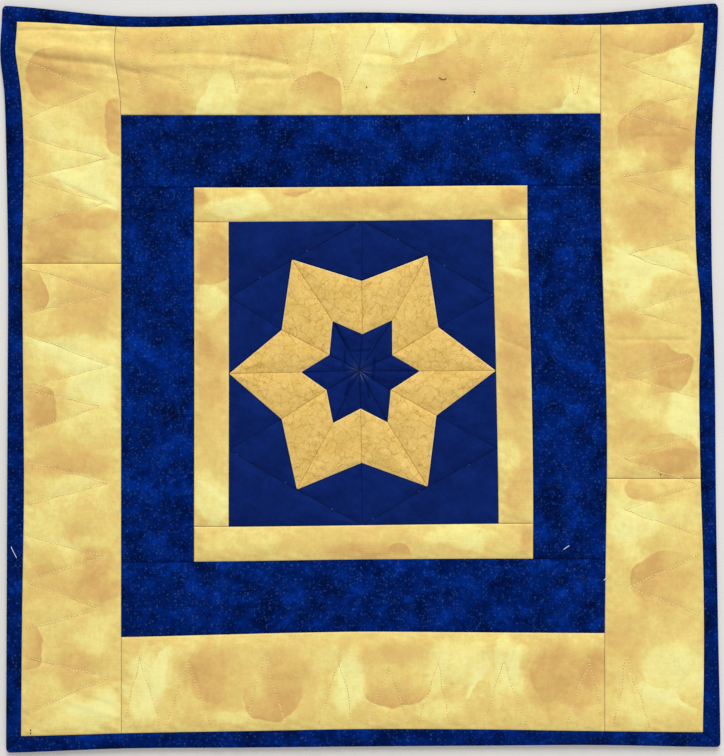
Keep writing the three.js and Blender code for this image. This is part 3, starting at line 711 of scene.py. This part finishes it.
class Finish:
    def __init__(self, name):
        self.material = bpy.data.materials.new(name)
        self.material.use_nodes = True
        self.tree = self.material.node_tree
        self.tree.nodes.clear()

    def node(self, kind, settings=None, sockets=None, output=0):
        node = self.tree.nodes.new("ShaderNode" + kind)
        for key, value in (settings or {}).items():
            if key == "stops":
                while len(node.color_ramp.elements) < len(value):
                    node.color_ramp.elements.new(1)
                for element, (position, shade) in zip(node.color_ramp.elements, value):
                    element.position = position
                    element.color = shade
            else:
                setattr(node, key, value)
        for key, value in (sockets or {}).items():
            if isinstance(value, Value):
                self.tree.links.new(value.socket, node.inputs[key])
            else:
                node.inputs[key].default_value = value
        return Value(self.tree, node.outputs[output]) if node.outputs else None

    def mark(self, kind, output="Fac"):
        return self.node("Attribute", {"attribute_name": kind}, output=output)

    def cloth(self):
        return self.mark("cloth", "Vector")

    def noise(self, place, size, detail=2.0, roughness=0.5, distortion=0.0):
        settings = {"Vector": place, "Scale": 1 / size, "Detail": detail, "Roughness": roughness}
        return self.node("TexNoise", None, {**settings, "Distortion": distortion})

    def weave(self, place, size):  # fine crossed threads, from about 0 to 1
        across = self.node("VectorMath", {"operation": "MULTIPLY"}, {0: place, 1: (0.16, 1, 1)})
        down = self.node("VectorMath", {"operation": "MULTIPLY"}, {0: place, 1: (1, 0.16, 1)})
        return self.noise(across, size, 1, 0.6) * 0.5 + self.noise(down, size, 1, 0.6) * 0.5

    def between(self, value, low, high):
        ends = {"Value": value, "From Min": low, "From Max": high}
        return self.node("MapRange", {"interpolation_type": "SMOOTHSTEP"}, ends)

    def ramp(self, value, stops):
        return self.node("ValToRGB", {"stops": stops}, {"Fac": value})

    def mix(self, factor, first, second, blend="MIX"):
        settings = {"data_type": "RGBA", "blend_type": blend}
        return self.node("Mix", settings, {0: factor, 6: first, 7: second}, 2)

    def moved(self, place, offset, amount):  # a place pushed about by a noise's colour
        centred = self.node("VectorMath", {"operation": "SUBTRACT"}, {0: offset, 1: (0.5, 0.5, 0.5)})
        scaled = self.node("VectorMath", {"operation": "SCALE"}, {0: centred, "Scale": amount})
        return self.node("VectorMath", {"operation": "ADD"}, {0: place, 1: scaled})

    def close(self, colour, roughness, height, distance, specular=0.1, sheen=0.0):
        bump = self.node("Bump", None, {"Strength": 1.0, "Distance": distance, "Height": height})
        shader = self.node("BsdfPrincipled", None, {
            "Base Color": colour, "Roughness": roughness, "Normal": bump,
            "Specular IOR Level": specular, "Sheen Weight": sheen, "Sheen Roughness": 0.6,
        })
        self.node("OutputMaterial", None, {"Surface": shader})
        return self.material


def shade(red, green, blue):  # screen colour to the renderer's
    parts = [v / 255 for v in (red, green, blue)]
    linear = [p / 12.92 if p <= 0.04045 else ((p + 0.055) / 1.055) ** 2.4 for p in parts]
    return (*linear, 1.0)


def marbledCloth():
    stops = [
        (0.0, shade(250, 245, 164)), (0.25, shade(246, 232, 144)), (0.5, shade(236, 209, 124)),
        (0.75, shade(228, 191, 114)), (1.0, shade(216, 172, 103)),
    ]
    finish = Finish("marbled_cloth")
    place = finish.cloth()
    drift = finish.noise(place, 20, 4, 0.62, 0.6)
    fine = finish.noise(place, 7.5, 4, 0.65)
    grain = finish.noise(place, 2.2, 2, 0.6)
    tint = finish.noise(place, 10, 3, 0.6)
    wash = (finish.noise(place, 46, 1.6, 0.4, 0.5) * 5).wrapped()  # grows slowly, then ends in a crisp line
    wash = wash * (1 - finish.between(wash, 0.93, 1.0))
    pool, rim = finish.mark("pool"), finish.mark("poolEdge")
    inPool = finish.between(rim, -0.4, 0.4) * pool
    darkRim = (1 - finish.between(abs(rim - 0.5), 0, 1.0)) * pool
    paleRim = (1 - finish.between(abs(rim + 1.3), 0, 1.4)) * pool
    streak = finish.between(finish.mark("streakEdge"), -0.3, 0.4) * finish.mark("streak")
    laid = finish.mark("tone") + inPool - 1.05 * streak + 0.1 * darkRim - 0.15 * paleRim
    amount = 0.47 + laid * 0.54 + (drift - 0.5) * 0.46 + (fine - 0.5) * 0.52 + (wash - 0.42) * 0.08
    amount = amount + (grain - 0.5) * 0.34
    curl = finish.noise(place, 30, 1.5, 0.4, 1.4)
    vein = 1 - finish.between(abs((curl * 6).wrapped() - 0.5), 0, 0.05)
    colour = finish.ramp(amount, stops)
    colour = finish.mix(finish.between(tint, 0.5, 0.7) * 0.26, colour, shade(232, 216, 120))
    colour = finish.mix((1 - finish.between(tint, 0.3, 0.5)) * 0.24, colour, shade(242, 202, 132))
    colour = finish.mix(vein * 0.2, colour, shade(202, 180, 100))
    # painted highlight: a pale line along the seams beside the navy
    colour = finish.mix(finish.mark("rim") * 0.35, colour, shade(255, 247, 208))
    weft = finish.weave(place, 1.4)
    colour = finish.mix((weft - 0.3) * 0.3, colour, shade(196, 160, 84))
    return finish.close(colour, 0.86 + fine * 0.1, weft, 0.00012, 0.1, 0.05)


def speckledNavy(name, worn=0.0):
    stops = [
        (0.3, shade(0, 8, 42)), (0.42, shade(0, 21, 78)),
        (0.54, shade(0, 35, 115)), (0.68, shade(2, 54, 162)),
    ]
    finish = Finish(name)
    place = finish.cloth()
    mottle = finish.noise(place, 19, 4, 0.6)
    cloudy = finish.noise(place, 5, 3, 0.65)
    colour = finish.ramp(mottle * 0.7 + cloudy * 0.3, stops)
    # specks of two sizes: spacing, core, edge, least chance, strength
    for size, core, edge, least, most in ((1.7, 0.2, 0.5, 0.3, 0.28), (2.6, 0.16, 0.36, 0.5, 0.4)):
        cell = finish.node("TexVoronoi", None, {"Vector": place, "Scale": 1 / size, "Randomness": 1.0})
        chance = finish.node("SeparateColor", None, {"Color": cell.twin("Color")})
        speck = (1 - finish.between(cell, core, edge)) * finish.between(chance, least, 1.0)
        colour = finish.mix(speck * most, colour, shade(62, 104, 188))
    weft = finish.weave(place, 1.4)
    colour = finish.mix((weft - 0.25) * 0.7 + worn, colour, shade(0, 6, 34))
    return finish.close(colour, 0.85 + cloudy * 0.1, weft, 0.00012, 0.02)


def plainNavy(name, isCore=False):
    finish = Finish(name)
    place = finish.cloth()
    drift = finish.noise(place, 16, 2, 0.5)
    weft = finish.weave(place, 1.3)
    colour = finish.ramp(drift * 0.5 + weft * 0.5, [(0.3, shade(8, 27, 84)), (0.7, shade(15, 40, 112))])
    if isCore:  # pale worn lines fan out from the middle
        spot = finish.mark("spot", "Vector")
        way = finish.node("VectorMath", {"operation": "NORMALIZE"}, {0: spot})
        away = finish.node("VectorMath", {"operation": "LENGTH"}, {0: spot}, "Value")
        fan = finish.between(finish.noise(way, 0.09, 2, 0.6), 0.5, 0.72)
        fan = fan * (1 - finish.between(away, 1.5, 10.5))
        colour = finish.mix(fan * 0.62, colour, shade(120, 138, 184))
        # painted shade of small wrinkles across the core
        wrinkleShade = finish.between(finish.noise(place, 7, 3, 0.6, 1.0), 0.5, 0.72)
        colour = finish.mix(wrinkleShade * 0.3, colour, shade(4, 14, 66))
        # painted shade in the core's seams and small pulls
        colour = finish.mix(finish.mark("crease") * 0.6, colour, shade(2, 8, 48))
    # painted shadow: a dark line along the seams beside the gold
    colour = finish.mix(finish.mark("rim") * 0.7, colour, shade(4, 6, 40))
    return finish.close(colour, 0.84 + drift * 0.1, weft, 0.00014, 0.03)


def crackledGold():
    stops = [(0.28, shade(222, 182, 92)), (0.5, shade(235, 198, 112)), (0.72, shade(246, 213, 132))]
    finish = Finish("crackled_gold")
    place = finish.cloth()
    drift = finish.noise(place, 12, 3, 0.55)
    colour = finish.ramp(drift * 0.6 + finish.noise(place, 2.6, 3, 0.65) * 0.4, stops)
    bent = finish.moved(place, finish.noise(place, 4, 2, 0.55).twin("Color"), 3.2)
    for size, thick, most in ((7.0, 0.045, 0.6), (4.1, 0.06, 0.44)):
        cells = {"Vector": bent, "Scale": 1 / size}
        web = finish.node("TexVoronoi", {"feature": "DISTANCE_TO_EDGE"}, cells)
        patchy = finish.between(finish.noise(place, 5, 2), 0.3, 0.52)
        crack = (1 - finish.between(web, 0.0, thick)) * patchy
        colour = finish.mix(crack * most, colour, shade(180, 130, 36))
    smudge = finish.between(finish.noise(place, 3.4, 3, 0.6), 0.56, 0.7)
    colour = finish.mix(smudge * 0.2, colour, shade(202, 152, 52))
    # painted highlight: a pale line along the seams beside the navy
    colour = finish.mix(finish.mark("rim") * 0.6, colour, shade(252, 236, 196))
    weft = finish.weave(place, 1.3)
    colour = finish.mix((weft - 0.3) * 0.26, colour, shade(182, 140, 66))
    return finish.close(colour, 0.86 + drift * 0.08, weft, 0.00012, 0.08, 0.05)


def backCloth():
    finish = Finish("back_cloth")
    place = finish.cloth()
    drift = finish.noise(place, 40, 3, 0.5)
    weft = finish.weave(place, 1.4)
    colour = finish.ramp(drift * 0.6 + weft * 0.4, [(0.3, shade(10, 26, 78)), (0.7, shade(20, 44, 112))])
    return finish.close(colour, 0.86 + drift * 0.1, weft, 0.00015, 0.05)


def sewingThread(name, dark, pale):
    finish = Finish(name)
    place = finish.node("TexCoord", output="Object")
    drift = finish.noise(place, 0.006, 2)
    colour = finish.ramp(drift, [(0.35, shade(*dark)), (0.65, shade(*pale))])
    twist = finish.noise(place, 0.0004, 1)
    return finish.close(colour, 0.6 + drift * 0.2, twist, 0.00005, 0.2)


marbled, gold, backing = marbledCloth(), crackledGold(), backCloth()
speckled, edging = speckledNavy("speckled_navy"), speckledNavy("edging_navy", 0.1)
navy, core = plainNavy("plain_navy"), plainNavy("core_navy", True)
print("cloths mixed")


# The back: a flat filled slab with the quilting drawn in on its underside, and a tongue inside the binding
back = {
    "thick": 2.0,
    "tongueUnder": 1.2,
    "tongueGap": 3.5,
    "clear": 0.35,
    "drawnIn": 0.45,
    "reach": 5,
    "step": 3.4,
}


def quiltBack():
    def outline(row, gap):
        left, right, bottom, top = (seamRows[s][row] - gap for s in ("left", "right", "bottom", "top"))
        return np.array([(-left, -bottom), (right, -bottom), (right, top), (-left, top)], float)

    inner = outline(3, back["clear"])
    points, faces, rim, counts = fillQuad(inner, back["step"])
    near = distanceTo(points[:, 0], points[:, 1], quiltedLines + seamLines, back["reach"])
    z = back["drawnIn"] * np.exp(-(near / 2.2) ** 2)
    z[rim] = 0
    tongue = edgeLoop(outline(4, back["tongueGap"]), counts)
    loops = [rim]
    under = back["tongueUnder"]
    stack = [(edgeLoop(inner, counts), under), (tongue, under), (tongue, back["thick"])]
    groups = [faces[:, ::-1]]
    for loop, height in stack:
        ring = len(points) + np.arange(len(loop))
        groups.append(bandFaces(ring, loops[-1]))
        points, z = np.concatenate([points, loop]), np.append(z, np.full(len(loop), height))
        loops.append(ring)
    groups.append(loops[-1][None])
    cloth = np.stack([points[:, 0], points[:, 1], np.zeros(len(points))], -1)
    piece = makePiece("quilt_back", placed(points[:, 0], points[:, 1], z), groups, backing, cloth)
    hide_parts("quilt_body")


quiltBack()
print("back laid")


# The binding: a strip folded round the edge on each side, with mitred corners
binding = {
    "height": 4.4,
    "underLeg": 0.9,
    "slotTop": 2.3,
    "fold": 2.5,
    "gap": 0.1,
    # in from the rim, share of the height
    "face": [(1.2, 0), (0.3, 0.18), (0, 0.47), (0.5, 0.75), (2, 0.94)],
    "seamRoll": (0.9, 0.85),
    "seamHeight": 0.72,
    "step": 2.0,
    "cornerRound": 3,
    "cut": 0.023,
}


def smoothLine(points, parts):  # more points along a soft curve
    points = np.array(points, float)
    padded = np.concatenate([[2 * points[0] - points[1]], points, [2 * points[-1] - points[-2]]])
    t = np.arange(parts)[:, None] / parts
    runs = []
    for p0, p1, p2, p3 in zip(padded, padded[1:], padded[2:], padded[3:]):
        runs.append(softCurve(t, p1, p2, (p2 - p0) / 2, (p3 - p1) / 2))
    return np.concatenate(runs + [points[-1:]])


def roundedCorner(x, y):  # takes the points off the binding's outer corners
    radius = binding["cornerRound"]
    overX = np.abs(x) - np.where(x > 0, seamRows["right"][4], seamRows["left"][4]) + radius
    overY = np.abs(y) - np.where(y > 0, seamRows["top"][4], seamRows["bottom"][4]) + radius
    atCorner = (overX > 0) & (overY > 0)
    scale = np.where(atCorner, np.maximum(overX, overY) / np.maximum(np.hypot(overX, overY), 1e-9), 1)
    pullX = np.where(atCorner, overX * (1 - scale), 0)
    pullY = np.where(atCorner, overY * (1 - scale), 0)
    return x - np.sign(x) * pullX, y - np.sign(y) * pullY


def bindingStrip(side, number):
    inner, outer = seamRows[side][3:]
    near = inner + binding["gap"]
    high = binding["height"]
    rollIn, rollShare = binding["seamRoll"]
    face = [(outer - inward, high * share) for inward, share in binding["face"]]
    face += [(outer - 0.35 * (outer - near), high), (near + 0.3 * (outer - near), high * 0.985)]
    face += [(near + rollIn, high * rollShare), (near, high * binding["seamHeight"])]
    section = np.concatenate([
        [(near, 0)], smoothLine(face, 4), [(near, binding["slotTop"])],
        [(outer - binding["fold"], binding["slotTop"]), (outer - binding["fold"], binding["underLeg"])],
        [(near, binding["underLeg"])],
    ])
    low, high = endsOf(side)
    out, z = section[:, 0], section[:, 1]

    def mitre(end):
        rows = seamRows[end]
        return rows[3] + (out - inner) / (outer - inner) * (rows[4] - rows[3]) - binding["gap"]

    rings = math.ceil((seamRows[low][4] + seamRows[high][4]) / binding["step"])
    place = np.linspace(0, 1, rings + 1)[:, None]
    along = -mitre(low) + (mitre(high) + mitre(low)) * place
    outs = np.broadcast_to(out, along.shape).copy()
    heights = np.broadcast_to(z, along.shape).copy()
    crown = np.clip((heights - 2.6) / 1.8, 0, 1)
    slow, quick = ripple(along, outs, 12, 50 + number), ripple(along, 2 * outs, 5, 60 + number)
    heights += crown * (0.2 * slow + 0.12 * quick)
    x, y = roundedCorner(*onSide(side, along, outs))
    count = len(out)
    index = np.arange((rings + 1) * count).reshape(rings + 1, count)
    ahead = np.roll(index, -1, 1)
    quads = np.stack([index[:-1], ahead[:-1], ahead[1:], index[1:]], -1).reshape(-1, 4)
    caps = [index[0][::-1][None], index[-1][None]]
    groups = [quads] + caps
    if side in ("top", "left"):
        groups = [group[:, ::-1] for group in groups]
    girth = np.append(0, np.cumsum(np.hypot(np.diff(out), np.diff(z))))
    girths = np.broadcast_to(girth, along.shape)
    cloth = np.stack([along + 700 * number, girths, 0 * along], -1).reshape(-1, 3)
    points = placed(x.ravel(), y.ravel(), heights.ravel())
    piece = makePiece("binding_" + side + "_cloth", points, groups, edging, cloth)
    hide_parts("binding_" + side)


for number, side in enumerate(sides):
    bindingStrip(side, number)
print("binding folded")


def stripCorners(side, row, low, high):
    rows = seamRows[side]
    inner, outer = rows[row], rows[row + 1]
    return [onSide(side, *p) for p in ((low, inner), (high, inner), (high, outer), (low, outer))]


# Borders, then the block
number = 0
for side in sides:
    low, high = endsOf(side)
    through0 = 0 if isSideways(side) else 1
    ends = -seamRows[low][through0], seamRows[high][through0]
    corners = stripCorners(side, 0, *ends)
    sewPatch("inner_border_" + side, marbled, corners, number, True, lightShadeEdges=[0, 2])
    ends = -seamRows[low][1 + through0], seamRows[high][1 + through0]
    sewPatch("navy_border_" + side, speckled, stripCorners(side, 1, *ends), number + 1)
    number += 2
acrossEnds = -seamRows["left"][2], seamRows["right"][2]
for side in ("top", "bottom"):
    corners = stripCorners(side, 2, *acrossEnds)
    sewPatch("outer_border_" + side, marbled, corners, number, True, lightShadeEdges=[0, 2])
    number += 1
lowest, highest = -seamRows["bottom"][3], seamRows["top"][3]
for side, joint in (("left", plan["leftJoint"]), ("right", plan["rightJoint"])):
    for half, ends in (("lower", (lowest, joint)), ("upper", (joint, highest))):
        corners = stripCorners(side, 2, *ends)
        name = "outer_border_" + side + "_" + half
        sewPatch(name, marbled, corners, number, True, lightShadeEdges=[0, 2])
        number += 1
print("borders sewn")

for name, signX, signY in (("ne", 1, 1), ("nw", -1, 1), ("sw", -1, -1), ("se", 1, -1)):
    corners = [
        (signX * plan["starTip"], signY * hexagonCorner), (0, signY * hexagonCorner),
        (signX * plan["starTip"], signY * polar(hexagonCorner, 1)[1]),
    ]
    sewPatch("block_corner_" + name, navy, corners, number, roll="faintRoll")
    number += 1
for sector in range(12):
    tipTurn = sector if sector % 2 == 0 else sector + 1
    valleyTurn = sector + 1 if sector % 2 == 0 else sector
    tip, valley = polar(plan["starTip"], tipTurn), polar(plan["starValley"], valleyTurn)
    coreTip, coreValley = polar(plan["coreTip"], tipTurn), polar(plan["coreValley"], valleyTurn)
    label = "_%02d" % (sector + 1)
    ground = [tip, polar(hexagonCorner, valleyTurn), valley]
    kite, wedge = [tip, valley, coreValley, coreTip], [(0, 0), coreTip, coreValley]
    sewPatch("ground_triangle" + label, navy, ground, number, roll="faintRoll", lightShadeEdges=[2])
    sewPatch("star_kite" + label, gold, kite, number + 1, roll="tightRoll", lightShadeEdges=[0, 2])
    sewPatch("core_wedge" + label, core, wedge, number + 2, roll="faintRoll", lightShadeEdges=[1])
    number += 3
print("star pieced")


# Stitches: short bowed lengths of thread that dip into the cloth at both ends
stitch = {"pitch": 2.3, "length": 1.45, "sides": 6, "stray": 0.6}


def spaced(line, pitch, length, seed):  # both ends of each stitch along a plan line
    points = np.array(line, float)
    steps = np.hypot(*np.diff(points, axis=0).T)
    places = np.append(0, np.cumsum(steps))
    starts = np.arange(pitch / 2, places[-1] - length, pitch)
    dice = np.random.default_rng(seed)
    starts = starts + dice.uniform(-0.12, 0.12, len(starts)) * pitch

    def at(s):
        x, y = np.interp(s, places, points[:, 0]), np.interp(s, places, points[:, 1])
        ahead, behind = np.minimum(s + 1, places[-1]), np.maximum(s - 1, 0)
        dx = np.interp(ahead, places, points[:, 0]) - np.interp(behind, places, points[:, 0])
        dy = np.interp(ahead, places, points[:, 1]) - np.interp(behind, places, points[:, 1])
        size = np.maximum(np.hypot(dx, dy), 1e-6)
        stray = stitch["stray"] * ripple(s, 0 * s, 26, seed + 1) + 0.1 * ripple(s, 0 * s, 4, seed + 2)
        return np.stack([x - dy / size * stray, y + dx / size * stray], -1)

    return at(starts), at(starts + length)


def threadMesh(name, ends, finish, radius, rise, dip):
    starts, stops = (np.concatenate(part) for part in zip(*ends))
    share = np.array([0, 0.16, 0.5, 0.84, 1])
    lift = np.array([-dip, 0.55 * rise, rise, 0.55 * rise, -dip])
    girth = np.array([0.7, 1, 1.05, 1, 0.7])
    centre = starts[:, None] + (stops - starts)[:, None] * share[None, :, None]
    x, y = centre[..., 0], centre[..., 1]
    z = heightAt(x.ravel(), y.ravel()).reshape(x.shape) + lift
    core = placed(x, y, z)
    run = core[:, -1] - core[:, 0]
    run = run / np.linalg.norm(run, axis=1, keepdims=True)
    aside = np.stack([-run[:, 1], run[:, 0], 0 * run[:, 0]], -1)
    angle = np.arange(stitch["sides"]) * tau / stitch["sides"]
    ring = aside[:, None, None] * np.cos(angle)[:, None] + np.array([0, 0, 1.0]) * np.sin(angle)[:, None]
    points = core[:, :, None] + ring * (radius * mm * girth)[None, :, None, None]
    count, rows, around = points.shape[:3]
    index = np.arange(count * rows * around).reshape(count, rows, around)
    ahead = np.roll(index, -1, 2)
    quads = np.stack([index[:, :-1], ahead[:, :-1], ahead[:, 1:], index[:, 1:]], -1).reshape(-1, 4)
    groups = [quads[:, ::-1], index[:, 0], index[:, -1, ::-1]]
    piece = makePiece(name, points.reshape(-1, 3), groups, finish)
    return piece


# dark discs at both ends of each stitch: painted shadow where the thread dips into the cloth
def needleHoleShadows(name, ends, finish, radius):
    spots = np.concatenate([np.concatenate(part) for part in ends])
    angle = np.arange(6) * tau / 6
    ring = np.stack([np.cos(angle), np.sin(angle)], -1) * radius
    points = spots[:, None] + ring
    z = heightAt(spots[:, 0], spots[:, 1])[:, None] + 0.07 + np.zeros(6)
    index = np.arange(points.shape[0] * 6).reshape(-1, 6)
    flat = placed(points[..., 0], points[..., 1], z).reshape(-1, 3)
    piece = makePiece(name, flat, [index], finish)
    return piece


pitch, length = stitch["pitch"], stitch["length"]
outerEnds = [spaced(line, pitch, length, 500 + 7 * k) for k, line in enumerate(chevronLines)]
navyEnds = [spaced(line, pitch, length, 600 + 7 * k) for k, line in enumerate(navyLines)]
slanted = [line for line in hexagonLines if abs(line[0][0] - line[1][0]) > 1]
hexagonEnds = [spaced(line, pitch, length, 700 + 7 * k) for k, line in enumerate(slanted)]
creamThread = sewingThread("cream_thread", (244, 222, 148), (255, 242, 192))
blueThread = sewingThread("blue_thread", (0, 22, 76), (12, 44, 118))
darkThread = sewingThread("dark_thread", (2, 9, 42), (7, 20, 66))
# brownish painted shadow for the needle holes
holeShadow = sewingThread("needle_hole_shadow", (184, 142, 74), (226, 192, 118))
threadMesh("border_stitches", outerEnds, creamThread, 0.25, 0.08, 0.3)
needleHoleShadows("border_needle_hole_shadows", outerEnds, holeShadow, 0.32)
threadMesh("navy_stitches", navyEnds, blueThread, 0.2, 0.14, 0.25)
threadMesh("hexagon_stitches", hexagonEnds, darkThread, 0.25, 0.16, 0.3)
# every seventeenth hexagon stitch again, thicker and pale blue: painted glints on the dark thread
glintEnds = [(starts[k::17], stops[k::17]) for k, (starts, stops) in enumerate(hexagonEnds)]
glintThread = sewingThread("thread_glint", (30, 58, 128), (70, 98, 158))
threadMesh("hexagon_stitch_glints", glintEnds, glintThread, 0.27, 0.2, 0.25)
print("quilting stitched")


# Bits of lint and stray thread: two shades, slot, radius, lift over the padding, from and to in plan mm
lint = {
    "white": ((214, 216, 222), (244, 244, 246), "navy_cloth", 0.26, 0.45, [
        (141.6, -128.3, 145.9, -125.4), (171.1, -149.9, 174, -147.7), (77.5, 185, 77.5, 182.5),
    ]),
    "curled": ((214, 216, 222), (244, 244, 246), "speckled_cloth", 0.24, 1.0, [
        (-250.4, -123.6, -249.4, -126.4), (-249.5, -126.1, -248, -129.2), (-248.1, -128.9, -246.6, -131.8),
    ]),
    "dark": ((58, 48, 36), (112, 92, 62), "marbled_cloth", 0.24, 0.45, [
        (55.9, 212.3, 58.8, 210.8), (58.8, 210.8, 61.7, 211.5),
    ]),
    "flecks": ((14, 14, 18), (40, 34, 30), "marbled_cloth", 0.34, 0.45, [
        (3, 206.1, 3.2, 205.5), (81.7, 202.7, 82.2, 202), (211.4, -74.1, 212, -74.5),
        (-235.7, -252.9, -235.7, -254.2), (-235.7, -255.2, -235.7, -256.3),
    ]),
}
for name, (dark, pale, slot, radius, lift, bits) in lint.items():
    bits = np.array(bits)
    strand = sewingThread("lint_" + name, dark, pale)
    threadMesh("lint_" + name, [(bits[:, :2], bits[:, 2:])], strand, radius, lift, 0.15 - lift)
print("lint dropped")


# Floor, light and camera
studio = {
    "floor": 3.0,
    "floorUnder": -0.0002,
    "cameraHeight": 0.9,
    "aim": (-0.2, -3.7),         # plan point at the middle of the picture
    "fieldHigh": 0.5443,         # metres from top to bottom of the picture
    "sky": 0.47,
    "lamps": [("window_light", (0.2, 4.0, 2.6), 3.0, 186), ("fill_light", (0.7, -1.1, 1.3), 1.4, 5)],
}


def paleFloor():
    finish = Finish("pale_floor")
    place = finish.node("TexCoord", output="Object")
    drift = finish.noise(place, 0.2, 3)
    colour = finish.ramp(drift, [(0.3, shade(226, 225, 222)), (0.7, shade(233, 232, 229))])
    material = finish.close(colour, 0.7 + drift * 0.1, drift, 0.0001, 0.2)
    half = studio["floor"] / 2
    mesh = bpy.data.meshes.new("floor")
    under = studio["floorUnder"]
    corners = [(-half, -half, under), (half, -half, under), (half, half, under), (-half, half, under)]
    mesh.from_pydata(corners, [], [(0, 1, 2, 3)])
    mesh.materials.append(material)
    floor = bpy.data.objects.new("floor", mesh)
    bpy.context.scene.collection.objects.link(floor)


def studioLight():
    world = bpy.data.worlds.new("studio")
    world.use_nodes = True
    backdrop = world.node_tree.nodes["Background"]
    backdrop.inputs["Color"].default_value = (1.0, 0.985, 0.96, 1)
    backdrop.inputs["Strength"].default_value = studio["sky"]
    bpy.context.scene.world = world
    for name, spot, size, power in studio["lamps"]:
        light = bpy.data.lights.new(name, "AREA")
        light.shape = "DISK"
        light.size = size
        light.energy = power
        lamp = bpy.data.objects.new(name, light)
        lamp.location = spot
        lamp.rotation_mode = "QUATERNION"
        lamp.rotation_quaternion = (-Vector(spot)).to_track_quat("-Z", "Y")  # turned to the quilt
        bpy.context.scene.collection.objects.link(lamp)


def overheadCamera():
    lens = bpy.data.cameras.new("overhead")
    lens.sensor_width = 36
    lens.sensor_fit = "AUTO"
    lens.lens = 36 * studio["cameraHeight"] / studio["fieldHigh"]
    camera = bpy.data.objects.new("overhead", lens)
    x, y = studio["aim"]
    camera.location = ((x + shiftX) * mm, (y + shiftY) * mm, studio["cameraHeight"])
    bpy.context.scene.collection.objects.link(camera)
    bpy.context.scene.camera = camera


paleFloor()
studioLight()
overheadCamera()
bpy.context.scene.view_settings.view_transform = "Standard"
print("lit and framed")
